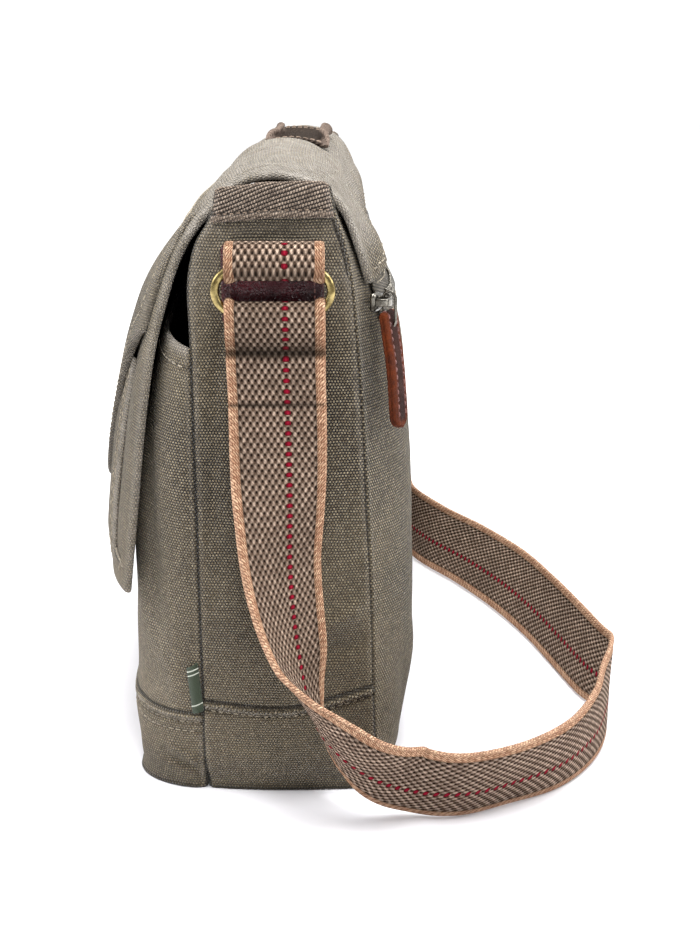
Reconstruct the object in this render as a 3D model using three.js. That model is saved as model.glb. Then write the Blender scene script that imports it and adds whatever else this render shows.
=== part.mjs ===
// Canvas shoulder bag, stuffed and standing on its base, with its strap laid on the floor behind it.
// Millimetres: +X runs to the bag's right end, -Y is the front, +Z is up.
// The origin is the middle of the underside of the base.

import * as THREE from "three";

// Driving dimensions
const GAP = 0.3; // clearance between neighbouring pieces
const CANVAS = 2; // main walls
const THIN_CANVAS = 1.7; // pockets and pocket flap
const FLAP_CLOTH = 2.2; // hemmed flap
const TAPE = 1.5; // twill tape of the top bindings
const LEATHER = 2; // closure tabs
const PATCH_LEATHER = 1.5; // patches behind the rings
const WEBBING = 2.2; // thickness of strap, tabs and handle
const STRAP_WIDTH = 38;

const BOTTOM_THICKNESS = 2.5;
const WALL_FOOT = BOTTOM_THICKNESS + GAP; // height where the upright walls start
const END_TOP = 256; // top edge of the end panels
const FRONT_TOP = 237; // top edge of the front panel
const BACK_TOP = 247; // top edge of the back panel
const END_SWELL = 2; // how far an end panel stands out at its middle
const BACK_CORNER = 40; // length over which the back panel rounds its corner
const FRONT_PINCH = 7; // how far the front panel's top is drawn back at mid length
const FRONT_PINCH_START = 190; // height where it starts to be drawn back

const POCKET_SEAM_Y = -45 - GAP; // where the front pocket leaves the end panels
const POCKET_CORNER_SHARE = 0.45; // share of the pocket's half width that is corner
const POCKET_BAND_TOP = 37;
const POCKET_FOOT = 5.5;
const POCKET_BASE_THICKNESS = 1.5;
const POCKET_RIM_AT_SEAM = 193.5;
const POCKET_RIM_RISE = 5;

const FLAP_HALF_WIDTH = 172;
const FLAP_EDGE_POWER = 7; // how quickly the flap falls away towards its ends
const FLAP_BACK_HEIGHTS = [219.8, 233, 245]; // where the flap lies on the back panel
const FLAP_CLEARANCE = 0.9; // loose fit of the flap on the back panel

const RING_CENTRE = new THREE.Vector3(188.2, -12.5, 218.5);
const RING_WIRE = 1.7; // radius of the brass wire
const RING_HALF_WIDTH = 22.5; // to the middle of the wire
const RING_HALF_HEIGHT = 8.3;
const RING_STRAIGHT = RING_HALF_WIDTH - RING_HALF_HEIGHT;
const LOOP_RADIUS = RING_WIRE + 2 * GAP + WEBBING / 2; // middle of webbing that runs round the wire

// Upright sections of the main compartment. end: distance of the end panel from the middle of the bag.
// front, seam: the end panel's front and back edges. back: the back panel past its rounded corner.
// bulge: how much further the back panel stands out at mid length.
const BODY_SECTIONS = [
  { z: 2.8, end: 176.5, front: -43.5, seam: 27, back: 36, bulge: 1 },
  { z: 14, end: 179.5, front: -45, seam: 27.8, back: 39.5, bulge: 2 },
  { z: 42, end: 180.5, front: -45, seam: 27, back: 43, bulge: 3 },
  { z: 80, end: 180.5, front: -45, seam: 26, back: 44.5, bulge: 3.5 },
  { z: 120, end: 180.5, front: -45, seam: 24.4, back: 43.5, bulge: 3.5 },
  { z: 160, end: 180, front: -45, seam: 22.2, back: 41, bulge: 3 },
  { z: 200, end: 179.5, front: -45, seam: 19.5, back: 36, bulge: 2.5 },
  { z: 220, end: 179.5, front: -45, seam: 17.8, back: 28, bulge: 1.5 },
  { z: 235, end: 179, front: -41.7, seam: 15.1, back: 19, bulge: 1 },
  { z: 246, end: 178, front: -35.5, seam: 11.5, back: 13, bulge: 0.5 },
  { z: 256, end: 177, front: -33.5, seam: 9.5, back: 10, bulge: 0 },
];

// Heights where end and back panels have their rows, so that their seam edges run alike
const LEVELS_UNDER_BAND = [WALL_FOOT, 14, 28];
const LEVELS_OVER_BAND = [80, 115, 150, 180, 200, 212, 222, 231, 239, BACK_TOP];

// Upright sections of the front pocket. corner, middle: its face past the rounded corner and at mid length.
// round: length of the rounded corner.
const POCKET_SECTIONS = [
  { z: 5.5, corner: -74.5, middle: -77, round: 26 },
  { z: 18, corner: -77, middle: -81, round: 30 },
  { z: 37, corner: -78.5, middle: -83, round: 36 },
  { z: 70, corner: -78, middle: -84.5, round: 44 },
  { z: 110, corner: -77, middle: -84.5, round: 48 },
  { z: 150, corner: -72, middle: -78.5, round: 48 },
  { z: 180, corner: -65, middle: -71, round: 46 },
  { z: 200, corner: -59, middle: -64.5, round: 44 },
];

// The seam between end panel and end band, from the front edge (0) to the back edge (1)
const BAND_SEAM = [
  { across: 0, z: 42.5 },
  { across: 0.5, z: 38 },
  { across: 1, z: 47.5 },
];

// Outer face of the flap from the back ridge to its front hem, at its ends and at mid length
const FLAP_ROWS = [
  { place: "back_ridge", endY: 9.5, endZ: 252.5, midY: 12.5, midZ: 256 },
  { place: "top_back", endY: 0, endZ: 257.5, midY: 2, midZ: 263.5 },
  { place: "top", endY: -13, endZ: 260, midY: -12, midZ: 266 },
  { place: "top_front", endY: -27, endZ: 256.5, midY: -26, midZ: 263 },
  { place: "front_ridge", endY: -38, endZ: 247.5, midY: -40, midZ: 252.5 },
  { place: "shoulder", endY: -49.5, endZ: 229.5, midY: -55, midZ: 230 },
  { place: "upper", endY: -56.5, endZ: 210, midY: -66, midZ: 208 },
  { place: "pocket_rim", endY: -61.5, endZ: 192, midY: -73, midZ: 189 },
  { place: "middle", endY: -67, endZ: 160, midY: -81, midZ: 156.5 },
  { place: "lower", endY: -71.5, endZ: 125, midY: -87, midZ: 122.5 },
  { place: "hem", endY: -76, endZ: 90.5, midY: -89.5, midZ: 90 },
];

// Patch pocket on the flap and the small flap over it. top, bottom, sideEnd, tip, lifted and bottomRamp
// count rows of the flap's profile; border, swell and lift are distances off the flap.
const FLAP_POCKET = {
  halfWidth: 146,
  top: 10.25,
  bottom: 12.95,
  border: 2,
  swell: 4.4,
  sideRamp: 20,
  bottomRamp: 0.4,
};
const POCKET_FLAP = {
  halfWidth: 163,
  top: 7.3,
  sideEnd: 9.75,
  tip: 12.1,
  tipHalfWidth: 100,
  border: 2.1,
  lift: 7,
  lifted: 9.2,
};

// The strap's right end, from below the ring to the floor. ex, ey, ez point to the strap's left edge.
const STRAP_DROP = [
  { x: 187.7, y: -12.4, z: 192, ex: 0, ey: -1, ez: 0 },
  { x: 187.6, y: -12.2, z: 172, ex: 0, ey: -1, ez: 0 },
  { x: 188.4, y: -11.2, z: 150, ex: 0.15, ey: -0.99, ez: 0 },
  { x: 190.9, y: -10.6, z: 130, ex: 0.36, ey: -0.93, ez: 0 },
  { x: 194.2, y: -10, z: 110, ex: 0.55, ey: -0.83, ez: 0.03 },
  { x: 197.8, y: -8, z: 90, ex: 0.68, ey: -0.72, ez: 0.12 },
  { x: 201.5, y: -4.5, z: 73, ex: 0.8, ey: -0.52, ez: 0.28 },
  { x: 206, y: 0.5, z: 59.5, ex: 0.89, ey: -0.05, ez: 0.45 },
  { x: 210.5, y: 11.5, z: 45, ex: 0.77, ey: 0.31, ez: 0.56 },
  { x: 211.5, y: 25, z: 31, ex: 0.57, ey: 0.33, ez: 0.76 },
  { x: 209, y: 43, z: 21, ex: 0.42, ey: 0.13, ez: 0.9 },
];

// The strap on the floor, standing on its right edge, from the right end to the left end
const STRAP_FLOOR = [
  { x: 207.5, y: 62.5, z: 18.2, ex: 0.44, ey: 0.05, ez: 0.89 },
  { x: 196, y: 86.5, z: 19, ex: 0.32, ey: 0.13, ez: 0.94 },
  { x: 184, y: 108.5, z: 19.5, ex: 0.15, ey: 0.08, ez: 0.985 },
  { x: 159, y: 129, z: 19.8, ex: 0, ey: -0.03, ez: 1 },
  { x: 137, y: 137.5, z: 19.8, ex: 0, ey: 0, ez: 1 },
  { x: 114, y: 139.5, z: 19.6, ex: 0, ey: 0.18, ez: 0.98 },
  { x: 95, y: 137.7, z: 18.9, ex: -0.05, ey: 0.3, ez: 0.95 },
  { x: 61, y: 132.4, z: 18.8, ex: -0.1, ey: 0.39, ez: 0.915 },
  { x: 26.5, y: 124.9, z: 18.2, ex: -0.12, ey: 0.44, ez: 0.89 },
  { x: -15.5, y: 113, z: 17.9, ex: -0.18, ey: 0.46, ez: 0.87 },
  { x: -56, y: 90, z: 17.6, ex: -0.22, ey: 0.47, ez: 0.855 },
  { x: -92, y: 69, z: 18.2, ex: -0.18, ey: 0.42, ez: 0.89 },
  { x: -126, y: 60, z: 18.8, ex: -0.05, ey: 0.3, ez: 0.95 },
  { x: -160, y: 59.5, z: 19.6, ex: -0.05, ey: 0.15, ez: 0.985 },
  { x: -193, y: 55, z: 19.5, ex: -0.25, ey: 0.1, ez: 0.96 },
];

// How many columns and rows each piece of cloth is divided into
const DIVISIONS = {
  endPanel: { columns: 5 },
  frontPanel: { columns: 8, rows: 7 },
  backPanel: { columns: 22 },
  bottom: { columns: 24 },
  binding: { columns: 6 },
  pocket: { columns: 20, wallRows: 8, bandRows: 3, footColumns: 24 },
  flap: { columns: 16, rows: 22 },
  flapPocket: { columns: 14, rows: 6 },
  pocketFlap: { columns: 14, rows: 8 },
  closureTab: { columns: 2, rows: 4 },
  handle: { columns: 16 },
  patch: { columns: 3, rows: 3 },
  zip: { columns: 24, rows: 2 },
};

// Materials
const canvasFinish = { color: "#6f675a", roughness: 0.95, metalness: 0 };
const tapeFinish = { color: "#77695b", roughness: 0.95, metalness: 0 };
const webbingFinish = { color: "#7d6a5b", roughness: 0.9, metalness: 0 };
const darkLeatherFinish = { color: "#3c2124", roughness: 0.55, metalness: 0 };
const brownLeatherFinish = { color: "#6b3a26", roughness: 0.55, metalness: 0 };
const brassFinish = { color: "#a5884a", roughness: 0.35, metalness: 1 };
const steelFinish = { color: "#a9a9a6", roughness: 0.3, metalness: 1 };
const zipTapeFinish = { color: "#5e564b", roughness: 0.95, metalness: 0 };
const labelFinish = { color: "#4e5a3e", roughness: 0.9, metalness: 0 };

// Curves and surfaces
const { clamp, lerp, smoothstep } = THREE.MathUtils;
const point = (x, y, z) => new THREE.Vector3(x, y, z);

// Smooth curve through one column of a table, as a function of another column
function smoothColumn(rows, along, key) {
  const last = rows.length - 1;
  const slopes = rows.map((_, i) => {
    const before = rows[Math.max(i - 1, 0)];
    const after = rows[Math.min(i + 1, last)];
    return (after[key] - before[key]) / (after[along] - before[along]);
  });
  return (value) => {
    const next = rows.findIndex((row) => row[along] > value);
    const i = next < 0 ? last - 1 : clamp(next - 1, 0, last - 1);
    const span = rows[i + 1][along] - rows[i][along];
    const t = clamp((value - rows[i][along]) / span, 0, 1);
    const rise = t * t * (3 - 2 * t);
    const leave = span * slopes[i] * t * (1 - t) * (1 - t);
    const arrive = span * slopes[i + 1] * t * t * (t - 1);
    return lerp(rows[i][key], rows[i + 1][key], rise) + leave + arrive;
  };
}

const endX = smoothColumn(BODY_SECTIONS, "z", "end");
const frontY = smoothColumn(BODY_SECTIONS, "z", "front");
const seamY = smoothColumn(BODY_SECTIONS, "z", "seam");
const backY = smoothColumn(BODY_SECTIONS, "z", "back");
const backBulge = smoothColumn(BODY_SECTIONS, "z", "bulge");
const pocketCornerY = smoothColumn(POCKET_SECTIONS, "z", "corner");
const pocketMiddleY = smoothColumn(POCKET_SECTIONS, "z", "middle");
const pocketRound = smoothColumn(POCKET_SECTIONS, "z", "round");
const bandSeamZ = smoothColumn(BAND_SEAM, "across", "z");

// Right end panel: across runs from its front edge (0) to its back edge (1)
function endPoint(across, z) {
  const swell = END_SWELL * 4 * across * (1 - across);
  return point(endX(z) + swell, lerp(frontY(z), seamY(z), across), z);
}

// Front panel: share runs from its left edge (-1) to its right edge (1)
function frontPoint(share, z) {
  const x = share * (endX(z) - CANVAS - GAP);
  const pinch = FRONT_PINCH * smoothstep(z, FRONT_PINCH_START, FRONT_TOP) * (1 - share * share);
  return point(x, frontY(z) + pinch, z);
}

// Back panel: rounds its corners, then bulges towards mid length
function backPoint(x, z) {
  const start = seamY(z) + GAP;
  const turn = clamp((endX(z) - Math.abs(x)) / BACK_CORNER, 0, 1);
  const corner = (backY(z) - start) * (1 - (1 - turn) ** 2);
  const flat = clamp(1 - (x / (endX(z) - BACK_CORNER)) ** 2, 0, 1);
  return point(x, start + corner + backBulge(z) * flat, z);
}

// Front pocket: share runs from the left seam (-1) to the right seam (1)
function pocketAngle(share) {
  return clamp((1 - Math.abs(share)) / POCKET_CORNER_SHARE, 0, 1) * (Math.PI / 2);
}

function pocketPoint(share, z) {
  const angle = pocketAngle(share);
  const cornerY = pocketCornerY(z);
  const straight = clamp(share / (1 - POCKET_CORNER_SHARE), -1, 1);
  const round = pocketRound(z);
  const x = straight * (endX(z) - round) + Math.sign(share) * round * Math.cos(angle);
  const bulge = (pocketMiddleY(z) - cornerY) * (1 - straight * straight);
  return point(x, lerp(POCKET_SEAM_Y, cornerY, Math.sin(angle)) + bulge, z);
}

function pocketRimZ(share) {
  return POCKET_RIM_AT_SEAM + POCKET_RIM_RISE * Math.sin(pocketAngle(share));
}

// Point that stands off a surface by a distance, on the side away from the middle of the bag
const BAG_MIDDLE = point(0, -15, 120);
const SMALL_STEP = 0.02;

function standOff(surface, u, v, distance) {
  const at = surface(u, v);
  const alongU = surface(u + SMALL_STEP, v).sub(surface(u - SMALL_STEP, v));
  const alongV = surface(u, v + SMALL_STEP).sub(surface(u, v - SMALL_STEP));
  const normal = alongU.cross(alongV).normalize();
  const side = normal.dot(at.clone().sub(BAG_MIDDLE)) < 0 ? -1 : 1;
  return at.addScaledVector(normal, side * distance);
}

// Flap: row counts along the profile, from 0 at the back hem to the last row at the front hem
const FLAP_LAST_ROW = FLAP_BACK_HEIGHTS.length + FLAP_ROWS.length - 1;

function flapPoint(x, row) {
  const middle = 1 - Math.abs(x / FLAP_HALF_WIDTH) ** FLAP_EDGE_POWER;
  const lying = FLAP_BACK_HEIGHTS.map((z) => standOff(backPoint, x, z, FLAP_CLOTH + FLAP_CLEARANCE));
  const hanging = FLAP_ROWS.map((r) => {
    const y = lerp(r.endY, r.midY, middle);
    const z = lerp(r.endZ, r.midZ, middle);
    return point(x, y, z);
  });
  const profile = new THREE.CatmullRomCurve3([...lying, ...hanging]);
  return profile.getPoint(clamp(row / FLAP_LAST_ROW, 0, 1));
}

// Height of the flap's top over a point of the plan
const FLAP_TOP_ROWS = { back: 3, front: 7 };
const HALVINGS = 24;

function flapTopZ(x, y) {
  let { back, front } = FLAP_TOP_ROWS;
  for (let step = 0; step < HALVINGS; step++) {
    const half = (back + front) / 2;
    if (flapPoint(x, half).y > y) back = half;
    else front = half;
  }
  return flapPoint(x, back).z;
}

// Solids
const lineOf = (steps, pointAt) => Array.from({ length: steps + 1 }, (_, i) => pointAt(i / steps));

function gridOf(columns, rows, pointAt) {
  return lineOf(columns, (across) => lineOf(rows, (along) => pointAt(across, along)));
}

// Grid with one row for each entry of a list
function gridThrough(columns, list, pointAt) {
  const last = list.length - 1;
  return gridOf(columns, last, (share, up) => pointAt(share, list[Math.round(up * last)]));
}

// Place from -1 to 1 for a column's share, with the columns closer together towards both ends
const closeAtEnds = (share) => Math.sin((share - 0.5) * Math.PI);

const moved = (grid, shiftAt) => grid.map((line, c) => line.map((p, r) => p.clone().add(shiftAt(p, c, r))));

// Second skin that lies at a distance from a grid, on the side of a given point
function innerSkin(grid, thickness, inside) {
  const lastColumn = grid.length - 1;
  const lastRow = grid[0].length - 1;
  return moved(grid, (p, c, r) => {
    const across = grid[Math.min(c + 1, lastColumn)][r].clone().sub(grid[Math.max(c - 1, 0)][r]);
    const along = grid[c][Math.min(r + 1, lastRow)].clone().sub(grid[c][Math.max(r - 1, 0)]);
    const normal = across.cross(along).normalize();
    const side = normal.dot(inside.clone().sub(p)) < 0 ? -1 : 1;
    return normal.multiplyScalar(side * thickness);
  });
}

function signedVolume(positions, triangles) {
  const [a, b, c] = [point(), point(), point()];
  let volume = 0;
  for (let i = 0; i < triangles.length; i += 3) {
    a.fromArray(positions, 3 * triangles[i]);
    b.fromArray(positions, 3 * triangles[i + 1]);
    c.fromArray(positions, 3 * triangles[i + 2]);
    volume += a.dot(b.cross(c)) / 6;
  }
  return volume;
}

function solidFrom(positions, triangles) {
  const outward = signedVolume(positions, triangles) > 0 ? triangles : triangles.toReversed();
  const geometry = new THREE.BufferGeometry();
  geometry.setAttribute("position", new THREE.Float32BufferAttribute(positions, 3));
  geometry.setIndex(outward);
  geometry.computeVertexNormals();
  return geometry;
}

// Closed wall between two skins that are grids of the same size
function wallBetween(outer, inner) {
  const columns = outer.length - 1;
  const rows = outer[0].length - 1;
  const skinSize = (columns + 1) * (rows + 1);
  const positions = [...outer, ...inner].flatMap((line) => line.flatMap((p) => p.toArray()));
  const out = (c, r) => c * (rows + 1) + r;
  const inn = (c, r) => skinSize + out(c, r);
  const triangles = [];
  const quad = (a, b, c, d) => triangles.push(a, b, c, a, c, d);
  for (let c = 0; c < columns; c++) {
    for (let r = 0; r < rows; r++) {
      quad(out(c, r), out(c + 1, r), out(c + 1, r + 1), out(c, r + 1));
      quad(inn(c, r), inn(c, r + 1), inn(c + 1, r + 1), inn(c + 1, r));
    }
    quad(inn(c, 0), inn(c + 1, 0), out(c + 1, 0), out(c, 0));
    quad(inn(c + 1, rows), inn(c, rows), out(c, rows), out(c + 1, rows));
  }
  for (let r = 0; r < rows; r++) {
    quad(inn(0, r + 1), inn(0, r), out(0, r), out(0, r + 1));
    quad(inn(columns, r), inn(columns, r + 1), out(columns, r + 1), out(columns, r));
  }
  return solidFrom(positions, triangles);
}

// Closed wire that follows a flat loop of points; across is the direction square to the loop's plane
function wireLoop(points, across, radius, sides) {
  const count = points.length;
  const positions = [];
  points.forEach((p, i) => {
    const before = points[(i + count - 1) % count];
    const after = points[(i + 1) % count];
    const outward = after.clone().sub(before).normalize().cross(across);
    for (let s = 0; s < sides; s++) {
      const angle = (2 * Math.PI * s) / sides;
      const spoke = outward.clone().multiplyScalar(Math.cos(angle)).addScaledVector(across, Math.sin(angle));
      positions.push(...p.clone().addScaledVector(spoke, radius).toArray());
    }
  });
  const triangles = [];
  for (let i = 0; i < count; i++) {
    for (let s = 0; s < sides; s++) {
      const here = i * sides;
      const next = ((i + 1) % count) * sides;
      const turn = (s + 1) % sides;
      triangles.push(here + s, next + s, next + turn, here + s, next + turn, here + turn);
    }
  }
  return solidFrom(positions, triangles);
}

// Points round a slot shape: two straights of half length straight, joined by half circles
function slotPoints(straight, radius, stepsPerEnd, place) {
  const points = [];
  for (const end of [1, -1]) {
    for (let step = 0; step <= stepsPerEnd; step++) {
      const angle = end * (Math.PI / 2) * (1 - (2 * step) / stepsPerEnd);
      points.push(place(end * (straight + radius * Math.cos(angle)), radius * Math.sin(angle)));
    }
  }
  return points;
}

// Webbing: each frame has its middle, the direction to its left edge, and how far the webbing bows
// along the ring at its edges
const WEB_ACROSS = [-1, -0.77, 0.77, 1];

function webbing(frames, width) {
  const last = frames.length - 1;
  const skin = (side) =>
    frames.map((frame, i) => {
      const before = frames[Math.max(i - 1, 0)].at;
      const after = frames[Math.min(i + 1, last)].at;
      const tangent = after.clone().sub(before).normalize();
      const edge = frame.edge.clone().addScaledVector(tangent, -frame.edge.dot(tangent)).normalize();
      const face = edge.clone().cross(tangent);
      return WEB_ACROSS.map((share) => {
        const bow = Math.abs(share) === 1 ? frame.bow : 0;
        return frame.at
          .clone()
          .addScaledVector(edge, (share * width) / 2)
          .addScaledVector(face, (side * WEBBING) / 2)
          .add(point(0, 0, bow));
      });
    });
  return wallBetween(skin(1), skin(-1));
}

const frameAt = (x, y, z, edge, bow = 0) => ({ at: point(x, y, z), edge, bow });
const TO_FRONT = point(0, -1, 0);

// How far the ring's bar has turned towards its middle at the edge of the webbing
const EDGE_PAST_STRAIGHT = STRAP_WIDTH / 2 - RING_STRAIGHT;
const EDGE_BOW = RING_HALF_HEIGHT - Math.sqrt(RING_HALF_HEIGHT ** 2 - EDGE_PAST_STRAIGHT ** 2);

// Half turn of webbing round one bar of the ring, from behind it to in front of it.
// up is 1 for a turn over the bar and -1 for a turn under it.
const TURN_STEPS = 8;

function turnRound(barZ, up, bow) {
  return Array.from({ length: TURN_STEPS + 1 }, (_, i) => {
    const angle = Math.PI * (1 - i / TURN_STEPS);
    const x = RING_CENTRE.x + LOOP_RADIUS * Math.cos(angle);
    return frameAt(x, RING_CENTRE.y, barZ + up * LOOP_RADIUS * Math.sin(angle), TO_FRONT, bow);
  });
}

const UPPER_BAR = RING_CENTRE.z + RING_HALF_HEIGHT;
const LOWER_BAR = RING_CENTRE.z - RING_HALF_HEIGHT;
const BEHIND_RING = RING_CENTRE.x - LOOP_RADIUS;
const IN_FRONT_OF_RING = RING_CENTRE.x + LOOP_RADIUS;
const TAB_TOP = 236;
const TAB_BEND = TAB_TOP - 5; // where both layers of the tab start to part round the ring
const TAB_FRONT_TUCK = 1; // how far the front layer has come in there
const STRAP_FOLD_END = 170;
const HOOK_STRAIGHT = LOWER_BAR - 18;
const HOOK_BEND = LOWER_BAR - 6;
const HOOK_FRONT_TUCK = 0.9;

// Tab that holds the ring: down behind its upper bar, under it and up again
function tabFrames() {
  const frontTop = BEHIND_RING + WEBBING + GAP;
  return [
    frameAt(BEHIND_RING, RING_CENTRE.y, TAB_TOP, TO_FRONT),
    frameAt(BEHIND_RING, RING_CENTRE.y, TAB_BEND, TO_FRONT, -EDGE_BOW / 2),
    ...turnRound(UPPER_BAR, -1, -EDGE_BOW),
    frameAt(IN_FRONT_OF_RING - TAB_FRONT_TUCK, RING_CENTRE.y, TAB_BEND, TO_FRONT, -EDGE_BOW / 2),
    frameAt(frontTop, RING_CENTRE.y, TAB_TOP, TO_FRONT),
  ];
}

// One end of the strap: up behind the ring, over its lower bar and down to the sewn fold
function hookFrames() {
  return [
    frameAt(BEHIND_RING, RING_CENTRE.y, STRAP_FOLD_END, TO_FRONT),
    frameAt(BEHIND_RING, RING_CENTRE.y, HOOK_STRAIGHT, TO_FRONT),
    frameAt(BEHIND_RING, RING_CENTRE.y, HOOK_BEND, TO_FRONT, EDGE_BOW / 2),
    ...turnRound(LOWER_BAR, 1, EDGE_BOW),
    frameAt(IN_FRONT_OF_RING - HOOK_FRONT_TUCK, RING_CENTRE.y, HOOK_BEND, TO_FRONT, EDGE_BOW / 2),
  ];
}

const mirrorFrame = (frame) => ({
  at: point(-frame.at.x, frame.at.y, frame.at.z),
  edge: point(-frame.edge.x, frame.edge.y, frame.edge.z),
  bow: frame.bow,
});

// Frames on a smooth curve through the rows of a strap table
function smoothFrames(rows, stepsPerRow) {
  const middles = new THREE.CatmullRomCurve3(rows.map((row) => row.at));
  const edges = new THREE.CatmullRomCurve3(rows.map((row) => row.edge));
  const steps = (rows.length - 1) * stepsPerRow;
  return Array.from({ length: steps + 1 }, (_, i) => ({
    at: middles.getPoint(i / steps),
    edge: edges.getPoint(i / steps).normalize(),
    bow: 0,
  }));
}

const STRAP_STEPS_PER_ROW = 2;

function strapFrames() {
  const rowFrame = (row) => frameAt(row.x, row.y, row.z, point(row.ex, row.ey, row.ez));
  const drop = STRAP_DROP.map(rowFrame);
  const otherDrop = drop.map(mirrorFrame).reverse();
  const hook = hookFrames();
  const run = smoothFrames([...drop, ...STRAP_FLOOR.map(rowFrame), ...otherDrop], STRAP_STEPS_PER_ROW);
  return [...hook, ...run, ...hook.map(mirrorFrame).reverse()];
}

const extruded = (shape, depth) => new THREE.ExtrudeGeometry(shape, { depth, bevelEnabled: false });

// Plate with a flat outline in plan
function plate(outline, bottom, thickness) {
  const shape = new THREE.Shape(outline.map((p) => new THREE.Vector2(p.x, p.y)));
  return extruded(shape, thickness).translate(0, 0, bottom);
}

// Flat shape with one hole, both given as corners
function cutShape(corners, hole) {
  const shape = new THREE.Shape(corners.map(([x, y]) => new THREE.Vector2(x, y)));
  shape.holes.push(new THREE.Path(hole.map(([x, y]) => new THREE.Vector2(x, y))));
  return shape;
}

// Assembly
const bag = new THREE.Group();
bag.name = "canvas_shoulder_bag";

function add(name, geometry, finish) {
  const mesh = new THREE.Mesh(geometry, new THREE.MeshStandardMaterial(finish));
  mesh.name = name;
  bag.add(mesh);
}

// The same solid at the other end of the bag
function mirrored(geometry) {
  const { array } = geometry.attributes.position;
  const positions = Array.from(array, (value, i) => (i % 3 === 0 ? -value : value));
  return solidFrom(positions, Array.from(geometry.index.array));
}

function addPair(name, geometry, finish) {
  add(`${name}_right`, geometry, finish);
  add(`${name}_left`, mirrored(geometry), finish);
}

const inwardFromEnd = (grid) => moved(grid, () => point(-CANVAS, 0, 0));

// Main compartment
const endPanelHeights = [...LEVELS_OVER_BAND, END_TOP];
const endColumns = DIVISIONS.endPanel.columns;
const endPanelGrid = gridThrough(endColumns, [0, ...endPanelHeights], (across, level) =>
  endPoint(across, Math.max(level, bandSeamZ(across) + GAP / 2)));
addPair("end_panel", wallBetween(endPanelGrid, inwardFromEnd(endPanelGrid)), canvasFinish);

const endBandGrid = gridThrough(endColumns, [...LEVELS_UNDER_BAND, LEVELS_OVER_BAND[0]], (across, level) =>
  endPoint(across, Math.min(level, bandSeamZ(across) - GAP / 2)));
addPair("end_band", wallBetween(endBandGrid, inwardFromEnd(endBandGrid)), canvasFinish);

const { frontPanel } = DIVISIONS;
const frontGrid = gridOf(frontPanel.columns, frontPanel.rows, (share, up) =>
  frontPoint(2 * share - 1, lerp(WALL_FOOT, FRONT_TOP, up)));
add("front_panel", wallBetween(frontGrid, moved(frontGrid, () => point(0, CANVAS, 0))), canvasFinish);

const backColumns = DIVISIONS.backPanel.columns;
const backLevels = [...LEVELS_UNDER_BAND, bandSeamZ(1), ...LEVELS_OVER_BAND];
const backGrid = gridThrough(backColumns, backLevels, (share, z) =>
  backPoint(closeAtEnds(share) * endX(z), z));
const backInner = innerSkin(backGrid, CANVAS, BAG_MIDDLE);
for (const c of [0, backColumns]) {
  const inward = c === 0 ? CANVAS : -CANVAS;
  backInner[c] = backGrid[c].map((p) => p.clone().add(point(inward, 0, 0)));
}
add("back_panel", wallBetween(backGrid, backInner), canvasFinish);

const footEnd = endX(WALL_FOOT);
const footFront = frontY(WALL_FOOT);
const footBack = lineOf(DIVISIONS.bottom.columns, (share) =>
  backPoint(closeAtEnds(share) * footEnd, WALL_FOOT));
const bottomOutline = [
  point(-footEnd, footFront, 0),
  point(footEnd, footFront, 0),
  ...footBack.toReversed(),
];
add("bottom_panel", plate(bottomOutline, 0, BOTTOM_THICKNESS), canvasFinish);

// Top bindings: tape folded over the top edge of each end panel
const BINDING = { outerFoot: 244.5, middle: 250, innerFoot: 247, front: 0.02, back: 0.98 };

function bindingSkin(clearance) {
  const top = END_TOP + clearance;
  const rows = [
    { z: BINDING.outerFoot, out: clearance },
    { z: BINDING.middle, out: clearance },
    { z: top, out: clearance },
    { z: top, out: -CANVAS - clearance },
    { z: BINDING.middle, out: -CANVAS - clearance },
    { z: BINDING.innerFoot, out: -CANVAS - clearance },
  ];
  return gridThrough(DIVISIONS.binding.columns, rows, (across, row) => {
    const share = lerp(BINDING.front, BINDING.back, across);
    return endPoint(share, row.z).add(point(row.out, 0, 0));
  });
}
addPair("top_binding", wallBetween(bindingSkin(GAP + TAPE), bindingSkin(GAP)), tapeFinish);

// Front pocket
const pocketColumns = DIVISIONS.pocket.columns;
const pocketWallGrid = gridOf(pocketColumns, DIVISIONS.pocket.wallRows, (share, up) => {
  const across = 2 * share - 1;
  return pocketPoint(across, lerp(POCKET_BAND_TOP + GAP / 2, pocketRimZ(across), up));
});
const pocketBandGrid = gridOf(pocketColumns, DIVISIONS.pocket.bandRows, (share, up) =>
  pocketPoint(2 * share - 1, lerp(POCKET_FOOT, POCKET_BAND_TOP - GAP / 2, up)));

function pocketInner(grid) {
  const inner = innerSkin(grid, THIN_CANVAS, BAG_MIDDLE);
  for (const c of [0, pocketColumns]) {
    const inward = c === 0 ? THIN_CANVAS : -THIN_CANVAS;
    inner[c] = grid[c].map((p) => p.clone().add(point(inward, 0, 0)));
  }
  return inner;
}
add("front_pocket_wall", wallBetween(pocketWallGrid, pocketInner(pocketWallGrid)), canvasFinish);
add("front_pocket_band", wallBetween(pocketBandGrid, pocketInner(pocketBandGrid)), canvasFinish);

const pocketFootLine = lineOf(DIVISIONS.pocket.footColumns, (share) =>
  pocketPoint(2 * share - 1, POCKET_FOOT));
const pocketBaseBottom = POCKET_FOOT - GAP - POCKET_BASE_THICKNESS;
add("front_pocket_base", plate(pocketFootLine, pocketBaseBottom, POCKET_BASE_THICKNESS), canvasFinish);

// Flap, its patch pocket and the small flap over that pocket
const flapGrid = gridOf(DIVISIONS.flap.columns, DIVISIONS.flap.rows, (share, along) =>
  flapPoint(closeAtEnds(share) * FLAP_HALF_WIDTH, along * FLAP_LAST_ROW));
add("flap", wallBetween(flapGrid, innerSkin(flapGrid, FLAP_CLOTH, BAG_MIDDLE)), canvasFinish);

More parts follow.
